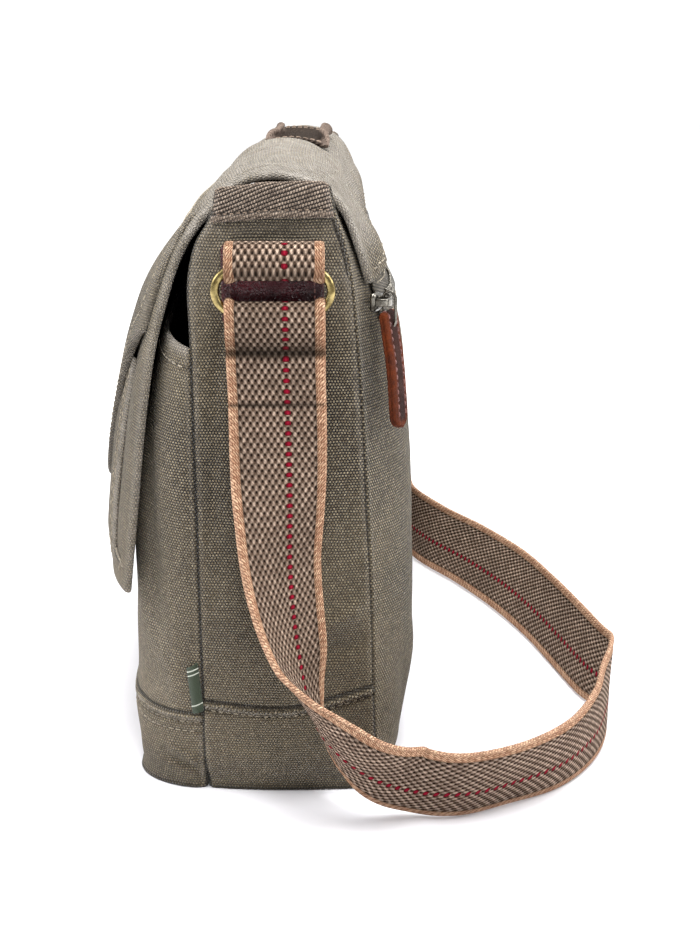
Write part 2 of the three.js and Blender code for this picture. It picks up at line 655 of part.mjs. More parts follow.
function flapPocketLift(x, row) {
  const side = smoothstep(FLAP_POCKET.halfWidth - Math.abs(x), 0, FLAP_POCKET.sideRamp);
  const foot = smoothstep(FLAP_POCKET.bottom - row, 0, FLAP_POCKET.bottomRamp);
  return lerp(FLAP_POCKET.border, FLAP_POCKET.swell, side * foot);
}

function flapPocketSkin(depth) {
  return gridOf(DIVISIONS.flapPocket.columns, DIVISIONS.flapPocket.rows, (share, along) => {
    const x = closeAtEnds(share) * FLAP_POCKET.halfWidth;
    const row = lerp(FLAP_POCKET.top, FLAP_POCKET.bottom, along);
    return standOff(flapPoint, x, row, flapPocketLift(x, row) - depth);
  });
}
add("flap_pocket", wallBetween(flapPocketSkin(0), flapPocketSkin(THIN_CANVAS)), canvasFinish);

function pocketFlapSkin(depth) {
  const { halfWidth, top, sideEnd, tip, tipHalfWidth, border, lift, lifted } = POCKET_FLAP;
  return gridOf(DIVISIONS.pocketFlap.columns, DIVISIONS.pocketFlap.rows, (share, along) => {
    const x = closeAtEnds(share) * halfWidth;
    const end = lerp(sideEnd, tip, smoothstep(halfWidth - Math.abs(x), 0, halfWidth - tipHalfWidth));
    const row = lerp(top, end, along);
    return standOff(flapPoint, x, row, lerp(border, lift, smoothstep(row, top, lifted)) - depth);
  });
}
add("pocket_flap", wallBetween(pocketFlapSkin(0), pocketFlapSkin(THIN_CANVAS)), canvasFinish);

// Leather closure tabs on the front pocket
const CLOSURE_TAB = { near: 0.41, far: 0.5, bottom: 94, top: 150 };
const closureSkin = (distance) =>
  gridOf(DIVISIONS.closureTab.columns, DIVISIONS.closureTab.rows, (across, up) => {
    const share = lerp(CLOSURE_TAB.near, CLOSURE_TAB.far, across);
    return standOff(pocketPoint, share, lerp(CLOSURE_TAB.bottom, CLOSURE_TAB.top, up), distance);
  });
addPair("closure_tab", wallBetween(closureSkin(GAP + LEATHER), closureSkin(GAP)), brownLeatherFinish);

// Carry handle: flat feet on the flap, edges folded up along the grip
const HANDLE = {
  y: -8,
  width: 34,
  halfLength: 70,
  footStart: 50,
  gripEnd: 26,
  clearance: 0.6,
  rise: 2.4,
  base: 0.78, // share of the width that stays flat along the grip
  fold: 2.6, // height of the folded edges over that flat
};
const HANDLE_ACROSS = [-1, -HANDLE.base, -HANDLE.base / 2, 0, HANDLE.base / 2, HANDLE.base, 1];

const handleGrid = gridThrough(DIVISIONS.handle.columns, HANDLE_ACROSS, (share, place) => {
  const x = lerp(-HANDLE.halfLength, HANDLE.halfLength, share);
  const grip = 1 - smoothstep(Math.abs(x), HANDLE.gripEnd, HANDLE.footStart);
  const flatY = HANDLE.y + (place * HANDLE.width) / 2;
  const flatZ = flapTopZ(x, flatY) + HANDLE.clearance;
  const gripY = HANDLE.y + (clamp(place, -HANDLE.base, HANDLE.base) * HANDLE.width) / 2;
  const fold = Math.abs(place) === 1 ? HANDLE.fold : 0;
  const gripZ = flapTopZ(x, HANDLE.y) + HANDLE.clearance + HANDLE.rise + fold;
  return point(x, lerp(flatY, gripY, grip), lerp(flatZ, gripZ, grip));
});
const ABOVE_BAG = point(0, HANDLE.y, 4 * END_TOP);
add("carry_handle", wallBetween(handleGrid, innerSkin(handleGrid, WEBBING, ABOVE_BAG)), webbingFinish);

// Ring patches, ring tabs, rings and strap
const PATCH = { front: -31.5, back: 6.5, bottom: 204, top: 236 };

function patchSkin(distance) {
  return gridOf(DIVISIONS.patch.columns, DIVISIONS.patch.rows, (across, up) => {
    const z = lerp(PATCH.bottom, PATCH.top, up);
    const y = lerp(PATCH.front, PATCH.back, across);
    return endPoint((y - frontY(z)) / (seamY(z) - frontY(z)), z).add(point(distance, 0, 0));
  });
}
addPair("ring_patch", wallBetween(patchSkin(GAP + PATCH_LEATHER), patchSkin(GAP)), darkLeatherFinish);
addPair("ring_tab", webbing(tabFrames(), STRAP_WIDTH), webbingFinish);

const RING_STEPS = { perEnd: 10, round: 8 };
const ringLine = slotPoints(RING_STRAIGHT, RING_HALF_HEIGHT, RING_STEPS.perEnd, (along, up) =>
  point(RING_CENTRE.x, RING_CENTRE.y + along, RING_CENTRE.z + up));
addPair("ring", wireLoop(ringLine, point(1, 0, 0), RING_WIRE, RING_STEPS.round), brassFinish);

add("shoulder_strap", webbing(strapFrames(), STRAP_WIDTH), webbingFinish);

// Zip on the back, under the flap's sewn edge
const ZIP = { halfLength: 166, bottom: 203.5, top: 218.5, clearance: 0.6, tape: 1 };
const ZIP_CHAIN = { halfLength: 158, bottom: 209.5, top: 213.5, thickness: 1.4 };

// Strip on the back panel, at a distance from it
function zipSkin(strip, distance) {
  return gridOf(DIVISIONS.zip.columns, DIVISIONS.zip.rows, (share, up) => {
    const x = lerp(-strip.halfLength, strip.halfLength, share);
    return standOff(backPoint, x, lerp(strip.bottom, strip.top, up), distance);
  });
}
const tapeOuter = ZIP.clearance + ZIP.tape;
const chainInner = tapeOuter + ZIP.clearance;
const chainOuter = chainInner + ZIP_CHAIN.thickness;
add("zip_tape", wallBetween(zipSkin(ZIP, tapeOuter), zipSkin(ZIP, ZIP.clearance)), zipTapeFinish);
add("zip_chain", wallBetween(zipSkin(ZIP_CHAIN, chainOuter), zipSkin(ZIP_CHAIN, chainInner)), steelFinish);

// Slider, wire bail and leather pull share a frame: along the zip, upward, and outward from the cloth
const SLIDER_X = 170;
const SLIDER_Z = (ZIP_CHAIN.bottom + ZIP_CHAIN.top) / 2;
const sliderFoot = standOff(backPoint, SLIDER_X, SLIDER_Z, tapeOuter + GAP);
const sliderOut = sliderFoot.clone().sub(backPoint(SLIDER_X, SLIDER_Z)).setZ(0).normalize();
const UPWARD = point(0, 0, 1);
const sliderAlong = sliderOut.clone().cross(UPWARD);
const sliderFrame = new THREE.Matrix4().makeBasis(sliderAlong, sliderOut, UPWARD).setPosition(sliderFoot);

const SLIDER = {
  halfLength: 5,
  width: 6.5,
  sole: 0.6, // clear of the tape
  body: 2.4,
  shoulder: 0.4,
  height: 7,
  bridgeInset: 1.2,
  bridgeBar: 1.3,
};
const sliderDeck = SLIDER.sole + SLIDER.body;
const sliderCrown = SLIDER.sole + SLIDER.height;
const crownHalf = SLIDER.halfLength - SLIDER.bridgeInset;
const holeHalf = crownHalf - SLIDER.bridgeBar;
const sliderSide = cutShape(
  [
    [-SLIDER.halfLength, SLIDER.sole],
    [SLIDER.halfLength, SLIDER.sole],
    [SLIDER.halfLength, sliderDeck + SLIDER.shoulder],
    [crownHalf, sliderCrown],
    [-crownHalf, sliderCrown],
    [-SLIDER.halfLength, sliderDeck + SLIDER.shoulder],
  ],
  [
    [-holeHalf, sliderDeck],
    [-holeHalf, sliderCrown - SLIDER.bridgeBar],
    [holeHalf, sliderCrown - SLIDER.bridgeBar],
    [holeHalf, sliderDeck],
  ],
);
const sliderBody = extruded(sliderSide, SLIDER.width).translate(0, 0, -SLIDER.width / 2);
add("zip_slider", sliderBody.applyMatrix4(sliderFrame), steelFinish);

// The bail runs under the slider's bridge and through the slot in the leather pull
const BAIL = { wire: 0.7, radius: 3.1, straight: 5.2, centreOut: 7.4, centreUp: -2.6 };
const BAIL_STEPS = { perEnd: 6, round: 6 };
const bailLine = slotPoints(BAIL.straight, BAIL.radius, BAIL_STEPS.perEnd, (along, out) =>
  point(0, BAIL.centreOut + out, BAIL.centreUp + along).applyMatrix4(sliderFrame));
add("zip_bail", wireLoop(bailLine, sliderAlong, BAIL.wire, BAIL_STEPS.round), steelFinish);

const PULL_LEAN = THREE.MathUtils.degToRad(4);
const PULL = {
  halfWidth: 5.5,
  thickness: 3.8,
  top: -6.4,
  length: 47,
  slotHalfWidth: 1.6,
  slotHeight: 2.6,
  slotDrop: 2.8,
  roundSteps: 8,
};
const pullFoot = PULL.top - PULL.length + PULL.halfWidth;
const slotTop = PULL.top - PULL.slotDrop;
const pullRound = lineOf(PULL.roundSteps, (share) => {
  const angle = Math.PI * (1 + share);
  return [PULL.halfWidth * Math.cos(angle), pullFoot + PULL.halfWidth * Math.sin(angle)];
});
const pullShape = cutShape(
  [...pullRound, [PULL.halfWidth, PULL.top], [-PULL.halfWidth, PULL.top]],
  [
    [-PULL.slotHalfWidth, slotTop],
    [-PULL.slotHalfWidth, slotTop - PULL.slotHeight],
    [PULL.slotHalfWidth, slotTop - PULL.slotHeight],
    [PULL.slotHalfWidth, slotTop],
  ],
);
const pullBody = extruded(pullShape, PULL.thickness);
// The pull hangs with its thickness outward and leans about its slot
const slotMiddle = slotTop - PULL.slotHeight / 2;
pullBody.rotateX(Math.PI / 2).translate(0, PULL.thickness / 2, -slotMiddle);
pullBody.rotateX(PULL_LEAN).translate(0, BAIL.centreOut, slotMiddle);
add("zip_pull", pullBody.applyMatrix4(sliderFrame), brownLeatherFinish);

// Folded label in the front seam at the right end
const LABEL = { front: -52, back: -45.8, bottom: 38.5, top: 58, thickness: 1 };
const labelFace = endX(LABEL.top) + GAP;
const labelInner = gridOf(1, 1, (across, up) =>
  point(labelFace, lerp(LABEL.front, LABEL.back, across), lerp(LABEL.bottom, LABEL.top, up)));
const labelOuter = moved(labelInner, () => point(LABEL.thickness, 0, 0));
add("side_label", wallBetween(labelOuter, labelInner), labelFinish);

export default bag;
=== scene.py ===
import math

import bpy
import numpy as np
from mathutils import Euler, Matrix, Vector


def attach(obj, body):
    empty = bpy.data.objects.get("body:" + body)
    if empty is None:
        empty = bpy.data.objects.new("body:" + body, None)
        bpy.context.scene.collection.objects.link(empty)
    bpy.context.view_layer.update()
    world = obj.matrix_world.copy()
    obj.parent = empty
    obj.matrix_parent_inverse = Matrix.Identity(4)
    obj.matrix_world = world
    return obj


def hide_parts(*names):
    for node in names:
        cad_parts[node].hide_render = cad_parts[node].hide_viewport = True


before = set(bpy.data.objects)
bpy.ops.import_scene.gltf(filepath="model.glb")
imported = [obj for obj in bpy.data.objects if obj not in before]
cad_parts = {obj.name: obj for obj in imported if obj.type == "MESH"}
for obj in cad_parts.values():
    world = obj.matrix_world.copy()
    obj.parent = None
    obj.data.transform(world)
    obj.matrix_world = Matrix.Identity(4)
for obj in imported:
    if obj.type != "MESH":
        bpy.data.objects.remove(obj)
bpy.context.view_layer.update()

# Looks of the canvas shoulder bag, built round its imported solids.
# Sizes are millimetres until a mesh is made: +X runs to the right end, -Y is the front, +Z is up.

MM = 0.001
ENDS = (("right", 1), ("left", -1))

# Driving dimensions, as in the part's source
GAP = 0.3
CANVAS = 2
THIN_CANVAS = 1.7
FLAP_CLOTH = 2.2
TAPE = 1.5
LEATHER = 2
PATCH_LEATHER = 1.5
WEBBING = 2.2
STRAP_WIDTH = 38
BOTTOM_THICKNESS = 2.5
END_TOP = 256
FRONT_TOP = 237
BACK_TOP = 247
END_SWELL = 2
CROWN_DROP = 1.8
CROWN_DROP_RANGE = (-0.56, 0)
BACK_CORNER = 40
BACK_FOOT_POWER = 3.2
BACK_FOOT_FADE = (50, 190)
BACK_SLACK = 0.72
BACK_SLACK_RISE = (182, 224)
BACK_SLACK_START = (-125, -30)
FRONT_PINCH = 7
FRONT_PINCH_START = 190
POCKET_SEAM_Y = -45 - GAP
POCKET_CORNER_SHARE = 0.45
POCKET_BAND_TOP = 37
POCKET_FOOT = 5.5
POCKET_RIM_AT_SEAM = 193.5
POCKET_RIM_RISE = 5
FLAP_HALF_WIDTH = 172
FLAP_EDGE_POWER = 7
FLAP_BACK_HEIGHTS = (219.8, 233, 245)
FLAP_CLEARANCE = 0.9
RING_CENTRE = np.array((188.2, -12.1, 218.5))
RING_WIRE = 1.7
RING_HALF_WIDTH = 22
RING_HALF_HEIGHT = 8.3
RING_STRAIGHT = RING_HALF_WIDTH - RING_HALF_HEIGHT
LOOP_RADIUS = RING_WIRE + 2 * GAP + WEBBING / 2
WEBBING_Y = -11.4
FLOOR_CLEARANCE = 0.4
FOOT_LIFT = 0.9
BAG_MIDDLE = np.array((0, -15, 120))


def table(columns, rows):
    """Columns of a table as arrays, by name."""
    return dict(zip(columns.split(), np.array(rows, float).T))


# Upright sections of the main compartment and of the front pocket
BODY = table("z end front seam back bulge", (
    (2.8, 176.5, -43.5, 27, 36, 1),
    (14, 179.5, -45, 27.8, 39.5, 2),
    (42, 180.5, -45, 27, 43, 3),
    (80, 180.5, -45, 26, 44.5, 3.5),
    (120, 180.5, -45, 24.4, 43.5, 3.5),
    (160, 180, -45, 22.2, 41, 3),
    (200, 179.5, -45, 19.5, 36, 2.5),
    (220, 179.5, -45, 17.8, 28, 1.5),
    (235, 179, -41.7, 15.1, 19, 1),
    (246, 178, -35.5, 11.5, 13, 0.5),
    (256, 177, -33.5, 9.5, 10, 0),
))
POCKET = table("z corner middle round", (
    (5.5, -74.5, -77, 20),
    (18, -77, -81, 25),
    (30, -78.2, -82.4, 31),
    (45, -78.4, -83.4, 44),
    (70, -78, -84.5, 43),
    (110, -77, -84.5, 48),
    (150, -72, -78.5, 48),
    (180, -65, -71, 46),
    (200, -59, -64.5, 44),
))
BAND_SEAM = table("across z", ((0, 43.2), (0.5, 41), (1, 50)))

# Outer face of the flap from the back ridge to the front hem, at its ends and at mid length
FLAP = table("end_y end_z mid_y mid_z", (
    (9.5, 252.5, 12.5, 256),
    (0, 257.5, 2, 263.5),
    (-13, 260, -12, 266),
    (-27, 256.5, -26, 263),
    (-38, 247.5, -40, 252.5),
    (-49.5, 229.5, -55, 230),
    (-56.5, 210, -66, 208),
    (-61.5, 192, -73, 189),
    (-67, 160, -81, 156.5),
    (-71.5, 125, -87, 122.5),
    (-76, 90.5, -89.5, 90),
))
FLAP_LAST_ROW = len(FLAP_BACK_HEIGHTS) + len(FLAP["end_y"]) - 1

# The strap from below the right ring to the floor, and on the floor to the left end.
# ex, ey, ez point to the strap's left edge, and cup is how far its middle bows away from the edges.
STRAP_COLUMNS = "x y z ex ey ez cup"
STRAP_DROP = table(STRAP_COLUMNS, (
    (187.7, -11.5, 192, 0, -1, 0, 0),
    (187.6, -11.1, 172, 0, -1, 0, 0),
    (188.4, -11, 150, 0.15, -0.99, 0, 0),
    (190.9, -10.8, 130, 0.4, -0.91, 0, 0.3),
    (194.2, -10.2, 110, 0.61, -0.78, 0.03, 1),
    (197.8, -7, 90, 0.73, -0.67, 0.12, 3),
    (201.5, -2.3, 73, 0.8, -0.53, 0.28, 5),
    (205.5, 3.6, 59.5, 0.87, -0.18, 0.45, 6),
    (209.5, 12.8, 45, 0.77, 0.29, 0.57, 5.5),
    (209.8, 25.5, 31, 0.53, 0.33, 0.78, 3.3),
    (206, 42, 20.8, 0.3, 0.12, 0.95, 1.3),
))
STRAP_FLOOR = table(STRAP_COLUMNS, (
    (207.5, 61, 18.8, 0.34, 0.05, 0.94, 0.5),
    (198.5, 85, 18.8, 0.33, 0.12, 0.935, 0.3),
    (184, 107, 19.3, 0.2, 0.1, 0.97, 0.3),
    (160, 124.5, 19.8, 0.05, 0, 1, 0.4),
    (135, 134, 19.8, 0, -0.06, 1, 0.4),
    (112, 140, 19.8, 0, 0.06, 1, 0.2),
    (102, 139.8, 19.4, -0.04, 0.2, 0.98, 0),
    (92, 136.4, 19, -0.05, 0.27, 0.96, 0),
    (61, 129.3, 18.6, -0.08, 0.31, 0.945, 0),
    (26.5, 121, 18.5, -0.1, 0.33, 0.94, 0),
    (-15.5, 108, 17.9, -0.16, 0.45, 0.875, 0),
    (-56, 89.3, 17.7, -0.22, 0.47, 0.855, 0),
    (-92, 67.5, 18.2, -0.18, 0.42, 0.89, 0),
    (-125, 55, 19.1, -0.05, 0.2, 0.975, 0),
    (-160, 55, 19.6, -0.05, 0.1, 0.99, 0),
    (-193, 53.5, 19.5, -0.25, 0.1, 0.96, 0.5),
))

# Folds of the cloth: place on the piece, turn from its first direction, half sizes and height
FOLD_COLUMNS = "a b turn half_length half_width height"
END_FOLDS = table(FOLD_COLUMNS, (
    (10, 80, 24, 24, 4, 1.8),
    (14, 68, 20, 20, 4, -1.6),
    (-34, 196, 80, 22, 4, -1.2),
    (-37, 150, 88, 45, 3.5, -0.5),
    (-30, 100, 84, 40, 6, 0.5),
    (-14, 238, 2, 26, 3, -0.5),
))
BAND_FOLDS = table(FOLD_COLUMNS, (
    (16, 24, 70, 10, 4, -0.9),
    (-20, 20, 8, 20, 5, 0.5),
))
BACK_FOLDS = table(FOLD_COLUMNS, (
    (160, 38, 70, 22, 5, -1.6),
    (150, 52, 60, 26, 6, 1.1),
    (120, 120, 80, 60, 12, 0.8),
    (60, 60, 30, 50, 9, -0.9),
    (-40, 90, -35, 60, 10, 0.9),
    (-130, 60, 75, 40, 8, -1.1),
))
POCKET_FOLDS = table(FOLD_COLUMNS, (
    (24, 120, 86, 45, 5, -1.5),
    (36, 105, 82, 42, 6, 1.2),
    (50, 78, 70, 30, 6, -1.2),
    (20, 64, 60, 22, 4.5, 0.9),
    (34, 56, 40, 20, 4, -1.0),
    (120, 90, 60, 40, 10, 1.0),
    (210, 70, 20, 60, 10, -1.0),
    (330, 100, 110, 45, 8, 1.1),
))
POCKET_BAND_FOLDS = table(FOLD_COLUMNS, (
    (10, 12, 20, 10, 2.6, -1.8),
    (9, 17, 30, 10, 2.4, 1.0),
    (40, 20, 100, 10, 6, -0.9),
    (75, 22, 70, 12, 8, 0.8),
))
FLAP_FOLDS = table(FOLD_COLUMNS, (
    (158, 72, 90, 20, 2.4, 0.7),
    (150, 70, 92, 22, 2.2, -0.6),
    (141, 68, 88, 22, 2.6, 0.6),
    (126, 72, 94, 20, 3.5, -0.5),
    (100, 66, 80, 22, 5, 0.5),
    (60, 250, 60, 60, 9, 1.4),
    (-70, 230, 110, 60, 9, -1.4),
    (-140, 72, 90, 22, 3, 0.6),
    (0, 71, 0, 46, 20, -3.6),
    (-114, 72, 0, 46, 20, -3),
    (72, 71, 90, 20, 6.5, 2.4),
    (-30, 150, 40, 70, 12, 1.4),
    (110, 200, 70, 60, 9, 1.2),
    (20, 215, 100, 50, 8, -1.2),
    (-120, 170, 75, 60, 10, -1.2),
))

# Uneven cloth: height, size and seed of the waves on each kind of piece
WAVES = {
    "end_panel": ((0.4, 42, 3), (0.15, 14, 8)),
    "end_band": ((0.4, 26, 21),),
    "front_panel": ((0.3, 40, 5),),
    "bottom": ((0.15, 30, 6),),
    "back_panel": ((0.8, 55, 11), (0.3, 19, 12)),
    "binding": ((0.3, 8, 32),),
    "pocket": ((0.9, 48, 41), (0.3, 17, 42)),
    "pocket_band": ((0.6, 24, 43),),
    "flap": ((0.5, 46, 51), (0.2, 15, 52)),
    "flap_gathers": ((2.2, 60, 53),),
    "flap_pocket": ((0.5, 30, 61),),
    "pocket_flap": ((0.6, 36, 71),),
    "handle": ((0.25, 12, 81),),
    "strap": ((0.15, 18, 91),),
    "zip_tape": ((0.12, 12, 101),),
    "label": ((0.1, 5, 111),),
}

# Ridges and grooves along the edges of a piece: edge, distance from it, half width and height.
# An edge named z stands for the height above the floor. In the relief a ridge's height is millimetres.
# In the wear and painted light, 1 is cloth worn pale, and the same paleness paints light on tops; -1 is the
# darkest cloth, mostly painted shade in seams, grooves and hollows.
# Dark lines along seams, stitch lines, hems and tape lips are painted shade in their grooves; the pale lines
# beside them are wear.
SEAM_WEAR_AND_SHADE = (("sides", 1.6, 0.9, 0.25), ("sides", 0, 0.4, -1.2))
BINDING_LIP = 2.5
HEM_WIDTH = 9
SMALL_HEM_WIDTH = HEM_WIDTH - 2
MARKS = {
    "end_panel_wear": (*SEAM_WEAR_AND_SHADE, ("low", 0, 0.7, -1)),
    "end_band": (("high", 4, 0.7, -0.4),),
    "end_band_wear": (*SEAM_WEAR_AND_SHADE, ("high", 0, 0.45, -1.2), ("high", 3.9, 0.55, -0.8)),
    "front_panel": (("high", 2, 3, 0.5),),
    "bottom_wear": (("rim", 0, 6, 0.5),),
    "back_panel_wear_and_shade": SEAM_WEAR_AND_SHADE,
    "binding": (("low", 1.1, 0.9, 0.7), ("low", BINDING_LIP, 0.6, -0.4)),
    "binding_wear": (("low", 1.1, 0.8, 0.35), ("low", BINDING_LIP, 0.6, -0.9)),
    "pocket_wear_and_shade": (*SEAM_WEAR_AND_SHADE, ("high", 0, 2.5, 0.6), ("high", 7, 0.7, -0.6), ("low", 0, 0.7, -1)),
    "pocket_band": (("high", 4, 0.7, -0.4), ("high", 8.4, 0.7, -0.36)),
    "pocket_band_wear_and_shade": (
        *SEAM_WEAR_AND_SHADE, ("high", 0, 0.45, -1.2), ("high", 4, 0.7, -0.6), ("high", 8.4, 0.7, -0.54)),
    "flap": (("loose", HEM_WIDTH + 0.6, 0.9, -0.5),),
    "flap_wear": (("loose", 0, 2, 0.3),),
    "flap_hem_shade": (("loose", HEM_WIDTH, 0.9, -0.8),),
    "flap_pocket_wear": (("loose", 2, 2.5, 0.6),),
    "pocket_flap_wear_and_shade": (("loose", 0, 3, 0.2), ("loose", SMALL_HEM_WIDTH, 0.8, -0.5)),
    "closure_tab": (("rim", 3, 0.7, -0.25),),
    "closure_tab_wear": (("rim", 0, 1.4, 0.8),),
    "ring_patch": (("rim", 3, 0.7, -0.2), ("z", 219, 3.5, 0.5)),
    "ring_tab": (("high", 3, 1, -0.5),),
    "zip_pull": (("rim", 2.2, 0.6, -0.25),),
}


# Curves and surfaces
SAME_POINT = 1e-4
LAST_STEP = 1e-6
SMALL_STEP = 0.02
WAVE_CELLS = 48
FLAP_TOP_ROWS = np.linspace(7, 3, 80)


def lerp(a, b, share):
    return a + (b - a) * share


def smoothstep(value, low, high):
    t = np.clip((value - low) / (high - low), 0, 1)
    return t * t * (3 - 2 * t)


def fade_out(value, low, high):
    return 1 - smoothstep(value, low, high)


def ridge(distance, place, half_width):
    return np.exp(-((distance - place) / half_width) ** 2)


def unit(vectors):
    return vectors / np.linalg.norm(vectors, axis=-1, keepdims=True)


def square_to(axis, vectors):
    """Directions turned square to an axis."""
    return unit(vectors - axis * np.sum(vectors * axis, axis=-1, keepdims=True))


def points_of(*columns):
    return np.stack(np.broadcast_arrays(*columns), axis=-1).astype(float)


def lengths_along(points):
    """Length from the first row of points to each row."""
    steps = np.linalg.norm(np.diff(points, axis=0), axis=-1)
    return np.concatenate([np.zeros_like(steps[:1]), np.cumsum(steps, axis=0)])


def sampled(where, place, rows):
    """Rows of numbers read off between the places that they stand at."""
    return np.stack([np.interp(where, place, column) for column in rows.T], axis=-1)


def graded(length, fine, coarse, border):
    """Places from 0 to a length, closer together near both ends."""
    near = np.linspace(0, border, math.ceil(border / fine), endpoint=False)
    middle = np.linspace(border, length - border, math.ceil((length - 2 * border) / coarse) + 1)
    return np.concatenate([near, middle, length - near[::-1]])


def centred(half_length, coarse, border):
    return graded(2 * half_length, 0.9, coarse, border) - half_length


def smooth_column(rows, along, key):
    """Smooth curve through one column of a table, as a function of another."""
    place, value = rows[along], rows[key]
    index = np.arange(len(place))
    before = np.maximum(index - 1, 0)
    after = np.minimum(index + 1, len(place) - 1)
    slope = (value[after] - value[before]) / (place[after] - place[before])

    def at(where):
        i = np.clip(np.searchsorted(place, where, side="right") - 1, 0, len(place) - 2)
        span = place[i + 1] - place[i]
        t = np.clip((where - place[i]) / span, 0, 1)
        leave = span * slope[i] * t * (1 - t) ** 2
        arrive = span * slope[i + 1] * t * t * (t - 1)
        return lerp(value[i], value[i + 1], t * t * (3 - 2 * t)) + leave + arrive

    return at


end_x, front_y, seam_y, back_y, back_bulge = (
    smooth_column(BODY, "z", key) for key in ("end", "front", "seam", "back", "bulge"))
pocket_corner_y, pocket_middle_y, pocket_round = (
    smooth_column(POCKET, "z", key) for key in ("corner", "middle", "round"))
band_seam_z = smooth_column(BAND_SEAM, "across", "z")


def through(points, at):
    """Centripetal curve through points, at places counted in points."""
    first = 2 * points[..., :1, :] - points[..., 1:2, :]
    last = 2 * points[..., -1:, :] - points[..., -2:-1, :]
    padded = np.concatenate([first, points, last], axis=-2)
    i = np.clip(np.floor(at).astype(int), 0, points.shape[-2] - 2)
    t = (at - i)[..., None]
    p0, p1, p2, p3 = (padded[..., i + k, :] for k in range(4))
    steps = ((p0, p1), (p1, p2), (p2, p3))
    d0, d1, d2 = (np.sqrt(np.linalg.norm(q - p, axis=-1, keepdims=True)) for p, q in steps)
    d1 = np.where(d1 < SAME_POINT, 1, d1)
    d0, d2 = (np.where(d < SAME_POINT, d1, d) for d in (d0, d2))
    leave = d1 * ((p1 - p0) / d0 - (p2 - p0) / (d0 + d1) + (p2 - p1) / d1)
    arrive = d1 * ((p2 - p1) / d1 - (p3 - p1) / (d1 + d2) + (p3 - p2) / d2)
    bend = 3 * (p2 - p1) - 2 * leave - arrive
    twist = 2 * (p1 - p2) + leave + arrive
    return p1 + leave * t + bend * t ** 2 + twist * t ** 3


def crown_drop(across):
    """How far the top of an end panel sinks towards its front."""
    return CROWN_DROP * smoothstep(-across, *CROWN_DROP_RANGE)


def end_point(across, z):
    """Right end panel, from its front edge (0) to its back edge (1)."""
    swell = END_SWELL * 4 * across * (1 - across)
    return points_of(end_x(z) + swell, lerp(front_y(z), seam_y(z), across), z)


def front_point(share, z):
    """Front panel, from its left edge (-1) to its right edge (1)."""
    pinch = FRONT_PINCH * smoothstep(z, FRONT_PINCH_START, FRONT_TOP) * (1 - share ** 2)
    return points_of(share * (end_x(z) - CANVAS - GAP), front_y(z) + pinch, z)


def back_point(x, z):
    """Back panel, which rounds its corners, bulges towards mid length and sinks in below the ridge."""
    start = seam_y(z) + GAP
    turn = np.clip((end_x(z) - np.abs(x)) / BACK_CORNER, 0, 1)
    power = lerp(BACK_FOOT_POWER, 2, smoothstep(z, *BACK_FOOT_FADE))
    corner = (back_y(z) - start) * (1 - (1 - turn) ** power)
    flat = np.clip(1 - (x / (end_x(z) - BACK_CORNER)) ** 2, 0, 1)
    slack = BACK_SLACK * smoothstep(z, *BACK_SLACK_RISE) * smoothstep(-x, *BACK_SLACK_START)
    return points_of(x, start + (corner + back_bulge(z) * flat) * (1 - slack), z)


def pocket_angle(share):
    return np.clip((1 - np.abs(share)) / POCKET_CORNER_SHARE, 0, 1) * (math.pi / 2)


def pocket_point(share, z):
    """Front pocket, from the left seam (-1) to the right seam (1)."""
    angle = pocket_angle(share)
    straight = np.clip(share / (1 - POCKET_CORNER_SHARE), -1, 1)
    turn = pocket_round(z)
    x = straight * (end_x(z) - turn) + np.sign(share) * turn * np.cos(angle)
    bulge = (pocket_middle_y(z) - pocket_corner_y(z)) * (1 - straight ** 2)
    return points_of(x, lerp(POCKET_SEAM_Y, pocket_corner_y(z), np.sin(angle)) + bulge, z)


def pocket_rim_z(share):
    return POCKET_RIM_AT_SEAM + POCKET_RIM_RISE * np.sin(pocket_angle(share))


def stand_off(surface, u, v, distance):
    """Point off a surface, on the side away from the middle of the bag."""
    at = surface(u, v)
    along_u = surface(u + SMALL_STEP, v) - surface(u - SMALL_STEP, v)
    along_v = surface(u, v + SMALL_STEP) - surface(u, v - SMALL_STEP)
    normal = unit(np.cross(along_u, along_v))
    side = np.sign(np.sum(normal * (at - BAG_MIDDLE), axis=-1, keepdims=True))
    return at + normal * side * np.asarray(distance)[..., None]


def flap_point(x, row):
    """Flap, by place along the bag and row of its profile; x is a column and row a line of places."""
    x = np.asarray(x, float).reshape(-1)
    row = np.clip(np.asarray(row, float).reshape(-1), 0, FLAP_LAST_ROW - LAST_STEP)
    middle = 1 - np.abs(x / FLAP_HALF_WIDTH) ** FLAP_EDGE_POWER
    off_back = FLAP_CLOTH + FLAP_CLEARANCE
    lying = [stand_off(back_point, x, np.full_like(x, z), off_back) for z in FLAP_BACK_HEIGHTS]
    hanging = [
        points_of(x, lerp(end_y, mid_y, middle), lerp(end_z, mid_z, middle))
        for end_y, end_z, mid_y, mid_z in zip(*FLAP.values())
    ]
    return through(np.stack(lying + hanging, axis=1), row)


def flap_rows():
    """Rows of the flap's profile at even steps of length, closer together at both hems."""
    dense = np.linspace(0, FLAP_LAST_ROW, FLAP_LAST_ROW * 40)
    place = lengths_along(flap_point(np.zeros(1), dense)[0])
    return np.interp(graded(place[-1], 0.9, 2.4, 10), place, dense)


def flap_top_z(x, y):
    """Height of the flap's top over each place of a column of x and an array of y."""
    profiles = flap_point(x, FLAP_TOP_ROWS)
    return np.stack([np.interp(line, profile[:, 1], profile[:, 2]) for line, profile in zip(y, profiles)])


def waves(a, b, size, seed):
    """Smooth uneven heights between -1 and 1, with bumps of a given size."""
    heights = np.random.default_rng(seed).uniform(-1, 1, (WAVE_CELLS, WAVE_CELLS))
    i, j = (np.floor(place / size).astype(int) for place in (a, b))
    s, t = (smoothstep(place / size - whole, 0, 1) for place, whole in ((a, i), (b, j)))
    near, far, low, high = (cell % WAVE_CELLS for cell in (i, i + 1, j, j + 1))
    here = lerp(heights[near, low], heights[far, low], s)
    there = lerp(heights[near, high], heights[far, high], s)
    return lerp(here, there, t)


